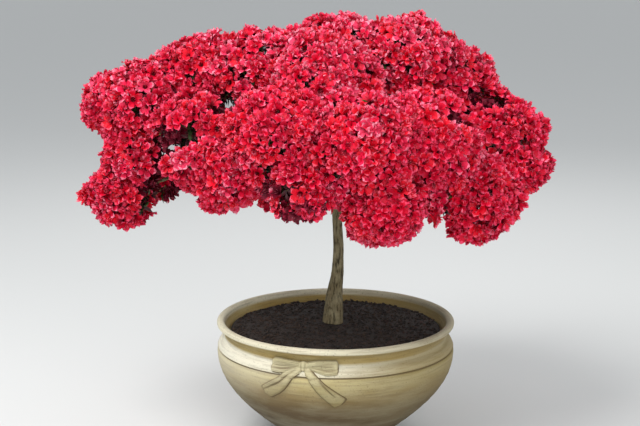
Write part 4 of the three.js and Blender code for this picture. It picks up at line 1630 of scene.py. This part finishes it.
@dataclass
class Bowl:
    """The turned clay bowl and the bow in relief on its shoulder, in millimetres."""

    # The turned body
    height: float = 305.0
    radius: float = 300.0
    foot_radius: float = 135.0
    foot_height: float = 10.0
    foot_edge: float = 1.5
    foot_ring: float = 9.0
    foot_slope: float = 3.0
    shoulder_height: float = 225.0
    belly_power: float = 2.4
    belly_steps: int = 56
    groove_height: float = 236.0
    groove_depth: float = 3.2
    groove_width: float = 3.0
    neck_height: float = 265.0
    neck_radius: float = 281.0
    lip_height: float = 14.0
    lip_width: float = 9.5
    lip_rise: float = 8.5
    wall: float = 20.0
    floor: float = 26.0
    segments: int = 160

    # The marks of throwing, and the painted shade in the groove and the bow's creases
    throwing: float = 0.45
    unevenness: float = 0.7
    shade_and_fold_cap: float = 0.85
    groove_spread: float = 2.1

    # The bow on the shoulder, how it beds into the clay, and its knot
    bow_bearing: float = -105.3
    bow_height: float = 262.0
    bow_relief: float = 5.6
    bow_bedding: float = 286.0
    bow_skirt: float = 1.8
    bow_sink: float = -1.2
    bow_rim: float = 0.2
    bow_wall: float = 3.0
    bow_end: tuple[float, float] = (0.975, 0.05)
    # How much painted shade lies along the foot of a band's lit side
    lit_foot: float = 0.45
    knot: tuple[float, float, float] = (12.5, 11.5, 9.0)
    knot_aside: float = -2.0
    knot_pinch: float = 1.4
    ribbons: tuple[Ribbon, ...] = (
        Ribbon(
            ((-6, 0), (-28, -1), (-58, -3), (-88, -3)),
            (13, 20, 29, 27),
            (Crease(0.45, 0.06, 0.97), Crease(0.0, 0.02, 0.94, 0.9), Crease(-0.45, 0.05, 0.9)),
            end_round=0.6,
            shaded_side=1.0,
        ),
        Ribbon(
            ((4, 1), (30, 1), (58, -1), (85, 0)),
            (12, 23, 30, 27),
            (Crease(0.12, 0.02, 0.86, 0.9), Crease(0.55, 0.3, 0.97, 0.7), Crease(-0.38, 0.05, 0.97)),
            end_round=0.3,
        ),
        Ribbon(
            ((-8, -5), (-34, -20), (-60, -47), (-104, -75)),
            (12, 24, 33, 31),
            (Crease(-0.1, 0.1, 1.0, 0.9, 0.22, -0.5),),
            end_slant=-0.35,
            shaded_side=1.0,
        ),
        Ribbon(
            ((6, -5), (22, -24), (48, -53), (93, -90)),
            (12, 22, 29, 34),
            (Crease(0.75, 0.3, 0.8, 0.9, 0.2, 0.3),),
            end_slant=0.3,
            shaded_side=1.0,
        ),
    )

    def belly(self, height: float) -> float:
        """Gives the outer radius between the foot and the widest height."""
        share = (height - self.foot_height) / (self.shoulder_height - self.foot_height)
        fall = math.asin(1 - min(max(share, 0.0), 1.0))
        return self.foot_radius + (self.radius - self.foot_radius) * math.cos(fall) ** self.belly_power

    def outside(self) -> np.ndarray:
        """Draws the outer side from the foot to the top of the lip.

        Returns:
            Rows of radius and height.
        """
        ring = self.foot_radius - self.foot_ring
        points = [(0, self.foot_edge), (ring - self.foot_slope, self.foot_edge), (ring, 0)]
        points += [(self.foot_radius - self.foot_edge, 0), (self.foot_radius, self.foot_edge)]
        points.append((self.foot_radius, self.foot_height - 1))
        for index in range(1, self.belly_steps + 1):
            fall = math.pi / 2 * (1 - index / self.belly_steps)
            height = self.foot_height + (self.shoulder_height - self.foot_height) * (1 - math.sin(fall))
            thrown = self.throwing * math.sin(height / 2.9) * math.sin(height / 17 + 1) - self.throwing
            points.append((self.belly(height) + thrown, height))
        edge = self.radius - 1
        for step in np.linspace(-1, 1, 9):
            cut = self.groove_depth * (1 - abs(step)) ** 0.8
            points.append((edge - cut, self.groove_height + self.groove_width * step))
        bead = bezier([
            np.array([edge - 1, self.groove_height + 3.2]),
            np.array([edge - 4, self.neck_height - 8]),
            np.array([self.neck_radius, self.neck_height - 10]),
            np.array([self.neck_radius, self.neck_height]),
        ], 16)
        points += [tuple(p) for p in bead]
        rim = bezier([
            np.array([self.neck_radius, self.neck_height]),
            np.array([self.neck_radius, self.neck_height + 12]),
            np.array([self.neck_radius + 4, self.height - self.lip_height - 3]),
            np.array([self.radius - 5, self.height - self.lip_height]),
        ], 12)
        points += [tuple(p) for p in rim[1:]]
        return np.array(points)

    def lip(self) -> np.ndarray:
        """Rounds the lip over from the outside to the inside."""
        middle = np.array([self.radius - self.lip_width, self.height - self.lip_rise])
        angles = np.radians(np.linspace(-32, 200, 22))
        return middle + np.stack([self.lip_width * np.cos(angles), self.lip_rise * np.sin(angles)], axis=1)

    def inside(self) -> np.ndarray:
        """Draws the inner side from the lip down to the middle of the floor."""
        outline = self.outside()[6:]
        heights = np.array([262, 235, 200, 150, 100, 60, self.floor])
        radii = np.interp(heights, outline[:, 1], outline[:, 0]) - self.wall
        top = [(self.radius - 21, self.height - 16), (self.neck_radius - 8, self.neck_height + 8)]
        return np.vstack([top, np.column_stack([radii, heights]), [[0, self.floor]]])

    def radius_at(self, height: float) -> float:
        """Gives the outer radius at a height."""
        outline = self.outside()[6:]
        return float(np.interp(height, outline[:, 1], outline[:, 0]))

    def build(self, finish: Material) -> None:
        """Spins the bowl.

        Args:
            finish: The clay.
        """
        outline = np.vstack([self.outside(), self.lip(), self.inside()])
        bm = bmesh.new()
        painted_crease_shade = bm.verts.layers.float.new(PAINTED_CREASE_SHADE)
        verts = [bm.verts.new((r * MM, 0, z * MM)) for r, z in outline]
        edges = [bm.edges.new(pair) for pair in zip(verts, verts[1:])]
        bmesh.ops.spin(
            bm, geom=verts + edges, cent=(0, 0, 0), axis=(0, 0, 1), angle=2 * math.pi,
            steps=self.segments, use_merge=True,
        )
        bmesh.ops.remove_doubles(bm, verts=bm.verts[:], dist=0.01 * MM)
        bmesh.ops.recalc_face_normals(bm, faces=bm.faces[:])
        for vert in bm.verts:
            reach = math.hypot(vert.co.x, vert.co.y)
            # Painted shade in the groove under the shoulder
            groove = (vert.co.z / MM - self.groove_height) / self.groove_spread
            if reach > (self.radius - 8) * MM:
                vert[painted_crease_shade] = self.shade_and_fold_cap * math.exp(-groove * groove)
            if reach > 100 * MM and vert.co.z > 12 * MM:
                wobble = noise.noise(vert.co * 7) * (self.unevenness * MM) - self.unevenness * MM
                vert.co.x += vert.co.x / reach * wobble
                vert.co.y += vert.co.y / reach * wobble
        piece = give_bmesh("bowl", bm, [finish])
        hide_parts("pot")

    def on_shoulder(self, across: float, above: float, out: float) -> Vector:
        """Gives a point over the bowl's shoulder.

        Args:
            across: How far along the shoulder from the bow's middle.
            above: How far above the bow's middle.
            out: How far out from the clay.

        Returns:
            The point, in metres.
        """
        height = self.bow_height + above
        bedding = self.bow_bedding if above > -16 else 0.0
        radius = max(self.radius_at(height), bedding) + out
        angle = math.radians(self.bow_bearing) + across / self.radius
        return Vector((radius * math.cos(angle), radius * math.sin(angle), height)) * MM

    def _band(self, bm: BMesh, ribbon: Ribbon) -> None:
        """Models one ribbon of the bow, rounded over its edges, with pleats, and painted shade in the
        pleats and along its foot, stronger on its shaded side.

        Args:
            bm: The bow, with a layer for the painted shade.
            ribbon: The ribbon.
        """
        painted_crease_shade = bm.verts.layers.float[PAINTED_CREASE_SHADE]
        end_at, end_over = self.bow_end
        grid = bmesh.ops.create_grid(bm, x_segments=60, y_segments=36, size=1.0)["verts"]
        for vert in grid:
            along_share, side = (vert.co.x + 1) / 2, math.sin(math.pi / 2 * vert.co.y)
            reach = 1 - ribbon.end_round * side**4 * 0.2 + ribbon.end_slant * side * 0.25
            share = 1 - (1 - along_share) ** 1.3
            middle, way, half = ribbon.sample(min(share * min(reach, 1.0), 0.999))
            half += self.bow_skirt
            border = 1 - self.bow_skirt / half
            across = min(abs(side) / border, 1.0)
            end = min(max((end_at - share) / end_over, 0.0), 1.0)
            fold = sum(crease.sink(share, side) for crease in ribbon.creases)
            shown = math.sqrt((1 - across**5) * (1 - (1 - end) ** 3))
            crest = shown * (1 - min(fold, self.shade_and_fold_cap))
            rim = self.bow_sink if abs(side) > 0.999 or share > 0.999 else self.bow_rim
            x = middle[0] - way[1] * half * side
            z = middle[1] + way[0] * half * side
            vert.co = self.on_shoulder(x, z, rim + (self.bow_relief - rim) * crest)
            # Painted shade along the band's foot, stronger on its shaded side, and in its folds
            foot = (1 - shown) * (self.shade_and_fold_cap if side * ribbon.shaded_side > 0 else self.lit_foot)
            vert[painted_crease_shade] = min(max(self.shade_and_fold_cap * fold, foot), self.shade_and_fold_cap)
        faces = list({f for v in grid for f in v.link_faces})
        bmesh.ops.solidify(bm, geom=faces, thickness=self.bow_wall * MM)

    def build_bow(self, finish: Material) -> None:
        """Models the bow.

        Args:
            finish: The clay.
        """
        bm = bmesh.new()
        painted_crease_shade = bm.verts.layers.float.new(PAINTED_CREASE_SHADE)
        for ribbon in self.ribbons:
            self._band(bm, ribbon)
        knot = bmesh.ops.create_icosphere(bm, subdivisions=4, radius=1.0)["verts"]
        for vert in knot:
            taper = 1 - 0.25 * max(0.0, -vert.co.y)
            pinch = math.exp(-(((abs(vert.co.x) - 0.42) * 7) ** 2)) * max(vert.co.z, 0)
            foot = math.exp(-((vert.co.z / 0.3) ** 2))
            # Painted shade in the knot's pinch and round its foot
            vert[painted_crease_shade] = min(0.5 * pinch + 0.7 * foot, 0.8)
            half_width, half_height, relief = self.knot
            across, out = half_width * vert.co.x * taper + self.knot_aside, relief * vert.co.z
            vert.co = self.on_shoulder(across, half_height * vert.co.y, out - self.knot_pinch * pinch)
        bmesh.ops.recalc_face_normals(bm, faces=bm.faces[:])
        piece = give_bmesh("bow", bm, [finish])
        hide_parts("bow_relief")


@dataclass
class Compost:
    """The compost in the bowl: a heaped, crumbly surface with loose crumbs and chips of bark."""

    edge_radius: float = 264.0
    edge_height: float = 277.0
    top: float = 290.0
    seat_radius: float = 30.0
    roughness: float = 2.2
    sides: int = 96
    rings: int = 30
    base_share: float = 0.45
    base_height: float = 27.5
    drawn_up: float = 240.0
    crumbs: int = 2600
    crumb_size: tuple[float, float] = (1.2, 4.2)
    crumb_form: tuple[float, float] = (0.7, 1.2)
    chip_share: float = 0.18
    chip_form: tuple[float, float, float] = (2.4, 0.8, 0.45)

    def surface(self, x: float, y: float) -> float:
        """Gives the surface's height at a place, in millimetres."""
        share = min(math.hypot(x, y) / self.edge_radius, 1.0)
        rise = min((1 - share) / 0.6, 1.0) ** 0.8
        rough = noise.fractal(Vector((x / 30, y / 30, 2.0)), 0.7, 2.2, 5)
        calm = min(max((math.hypot(x, y) - self.seat_radius) / 25, 0.0), 1.0)
        return self.edge_height + (self.top - self.edge_height) * rise + self.roughness * rough * calm - 0.6

    def build(self, finishes: Sequence[Material]) -> None:
        """Makes the filled bed of compost.

        Args:
            finishes: The compost's materials.
        """
        bm = bmesh.new()
        bmesh.ops.create_circle(bm, cap_ends=True, radius=self.edge_radius * MM, segments=self.sides)
        drawn = bmesh.ops.extrude_face_region(bm, geom=bm.faces[:])["geom"]
        upper = [g for g in drawn if isinstance(g, bmesh.types.BMVert)]
        bmesh.ops.translate(bm, verts=upper, vec=(0, 0, self.drawn_up * MM))
        top = [f for f in bm.faces if all(v.co.z > 0.8 * self.drawn_up * MM for v in f.verts)]
        step = self.edge_radius * MM / (self.rings + 1)
        for _ in range(self.rings):
            bmesh.ops.inset_region(bm, faces=top, thickness=step, use_even_offset=False)
        for vert in bm.verts:
            if vert.co.z > 0.8 * self.drawn_up * MM:
                vert.co.z = self.surface(vert.co.x / MM, vert.co.y / MM) * MM
            else:
                base = (vert.co.x * self.base_share, vert.co.y * self.base_share, self.base_height * MM)
                vert.co = Vector(base)
        bmesh.ops.recalc_face_normals(bm, faces=bm.faces[:])
        piece = give_bmesh("compost_bed", bm, finishes)
        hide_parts("compost")

    def build_crumbs(self, finishes: Sequence[Material]) -> None:
        """Strews crumbs and chips over the bed.

        Args:
            finishes: The compost's materials.
        """
        rng = np.random.default_rng(11)
        heap = Heap()
        stocks = []
        for _ in range(5):
            bm = bmesh.new()
            bmesh.ops.create_icosphere(bm, subdivisions=1, radius=1.0)
            for vert in bm.verts:
                vert.co *= rng.uniform(*self.crumb_form)
            stocks.append(Stock.from_bmesh(bm))
        for index in range(self.crumbs):
            radius = (self.edge_radius - 6) * math.sqrt(rng.uniform(0.016, 1))
            angle = rng.uniform(0, 2 * math.pi)
            x, y = radius * math.cos(angle), radius * math.sin(angle)
            size = rng.uniform(*self.crumb_size) ** 1.15
            chip = rng.random() < self.chip_share
            scale = np.array(self.chip_form) if chip else rng.uniform(*self.crumb_form, 3)
            turn = np.array(Euler(rng.uniform(-0.5, 0.5, 2).tolist() + [rng.uniform(0, 6.3)]).to_matrix())
            shape = stocks[index % len(stocks)]
            place = np.array([x, y, self.surface(x, y) + 0.25 * size])
            tone = int(rng.integers(0, len(finishes)))
            heap.add_plain((shape.points * scale * size) @ turn.T + place, shape.faces, tone)
        heap.piece("compost_crumbs", finishes, Slot.COMPOST, smooth=False)


@dataclass
class Studio:
    """The plain pale floor, the soft light and the camera at the photograph's place."""

    camera_place: tuple[float, float, float] = (-0.0392, -3.265, 1.204)
    camera_pitch: float = 10.96
    lens: float = 75.0
    floor_size: float = 160.0
    sky_strength: float = 0.64
    lights: tuple[tuple[str, tuple[float, float, float], float, float], ...] = (
        ("key", (-2.1, -1.9, 4.2), 2.6, 192.0),
        ("fill", (1.6, -3.8, 1.9), 2.6, 64.0),
        ("rim", (0.6, 3.0, 3.2), 2.4, 30.0),
    )

    def build(self) -> None:
        """Sets up the camera, the lights, the sky and the floor."""
        scene = bpy.context.scene
        scene.view_settings.view_transform = "Standard"
        data = bpy.data.cameras.new("camera")
        data.lens = self.lens
        data.sensor_width = 36.0
        camera = bpy.data.objects.new("camera", data)
        camera.location = self.camera_place
        camera.rotation_euler = (math.radians(90 - self.camera_pitch), 0, 0)
        scene.collection.objects.link(camera)
        scene.camera = camera
        for name, place, size, power in self.lights:
            self._light(name, place, size, power)
        world = bpy.data.worlds.new("sky")
        world.use_nodes = True
        sky = world.node_tree.nodes["Background"]
        sky.inputs["Color"].default_value = (0.92, 0.96, 1.0, 1.0)
        sky.inputs["Strength"].default_value = self.sky_strength
        scene.world = world
        self._floor()

    def _light(self, name: str, place: tuple[float, float, float], size: float, power: float) -> None:
        """Hangs one soft square light that looks at the crown.

        Args:
            name: Its name.
            place: Where it hangs.
            size: Its side.
            power: Its power in watts.
        """
        data = bpy.data.lights.new(name, "AREA")
        data.size = size
        data.energy = power
        light = bpy.data.objects.new(name, data)
        light.location = place
        look = Vector((0, 0, 0.7)) - Vector(place)
        light.rotation_euler = look.to_track_quat("-Z", "Y").to_euler()
        bpy.context.scene.collection.objects.link(light)

    def _floor(self) -> None:
        """Lays the floor."""
        bm = bmesh.new()
        bmesh.ops.create_grid(bm, x_segments=1, y_segments=1, size=self.floor_size / 2)
        mesh = bpy.data.meshes.new("floor")
        bm.to_mesh(mesh)
        bm.free()
        material, _, shader = new_material("pale_floor")
        shader.inputs["Base Color"].default_value = (0.66, 0.66, 0.645, 1.0)
        shader.inputs["Roughness"].default_value = 0.8
        mesh.materials.append(material)
        floor = bpy.data.objects.new("floor", mesh)
        bpy.context.scene.collection.objects.link(floor)


def petal_finishes(effects: EffectLibrary) -> list[Material]:
    """Makes the materials of the flowers' zones, in the order of Zone, with five tints and one for shade.

    Args:
        effects: The shared effects.

    Returns:
        The heart, the stamens, and a blade and a margin for each tint.
    """
    # Each tint has a blade and a paler margin, and the margin is a painted highlight on the petals' edges
    tints = (
        ("scarlet", (224, 5, 52), (202, 3, 43), (246, 84, 120), (228, 38, 82)),
        ("crimson", (208, 5, 49), (182, 3, 40), (236, 64, 102), (214, 28, 70)),
        ("rose", (232, 30, 78), (214, 12, 58), (252, 136, 162), (240, 80, 116)),
        ("fire", (228, 8, 42), (208, 4, 36), (248, 98, 122), (232, 50, 82)),
        ("blush", (234, 66, 104), (220, 38, 80), (248, 152, 172), (240, 104, 132)),
        # The shaded tint is painted shade for the flowers deep in the hollows
        ("shaded", (112, 8, 34), (84, 5, 26), (138, 24, 52), (112, 14, 38)),
    )
    finishes = [
        PetalFinish("petal_heart", (150, 6, 34), (120, 3, 24)),
        PetalFinish("stamen", (228, 120, 140), (190, 70, 90)),
    ]
    for tint, blade, blade_patches, margin, margin_patches in tints:
        finishes.append(PetalFinish(f"petal_{tint}", blade, blade_patches))
        finishes.append(PetalFinish(f"petal_{tint}_margin", margin, margin_patches))
    return [finish.build(effects) for finish in finishes]


def main() -> None:
    """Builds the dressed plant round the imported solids."""
    logging.basicConfig(level=logging.INFO, format="%(name)s: %(message)s")
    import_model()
    effects = EffectLibrary()
    masses = crown_masses()

    wood = Frame(masses)
    bark = BarkFinish("bark", (118, 106, 78), (58, 50, 36), (150, 140, 110)).build(effects)
    young = BarkFinish("twig_bark", (104, 78, 56), (62, 44, 32), (120, 102, 70), relief=0.5 * MM)
    paths = wood.limb_paths()
    wood.build_trunk(bark)
    wood.build_limbs(paths, bark)

    crown = Crown(masses)
    crown.grow()
    crown.grow_spurs(paths)
    crown.build_blossom(petal_finishes(effects))
    leaf_tones = [
        LeafFinish("leaf_green", (52, 78, 38), (72, 98, 46)),
        LeafFinish("leaf_deep", (34, 52, 30), (48, 66, 36)),
        LeafFinish("leaf_fresh", (84, 112, 52), (104, 126, 62)),
        LeafFinish("leaf_bronze", (70, 28, 34), (92, 36, 44)),
    ]
    crown.build_leaves([tone.build(effects) for tone in leaf_tones])
    crown.build_twigs(paths, young.build(effects))

    bowl = Bowl()
    bowl.build(ClayFinish("buff_clay").build(effects))
    pale = ((0.5, (140, 125, 82)), (0.7, (156, 142, 96)), (0.8, (190, 179, 140)), (0.9, (182, 171, 132)))
    bowl.build_bow(ClayFinish("bow_clay", bands=pale).build(effects))
    compost = Compost()
    compost_tones = [
        CompostFinish("compost_dark", (37, 27, 22), (52, 39, 31)),
        CompostFinish("compost_brown", (64, 47, 35), (44, 33, 26)),
        CompostFinish("compost_black", (30, 22, 20), (44, 34, 28)),
    ]
    tones = [tone.build(effects) for tone in compost_tones]
    compost.build(tones[:1])
    compost.build_crumbs(tones)

    Studio().build()


if __name__ == "__main__":
    main()
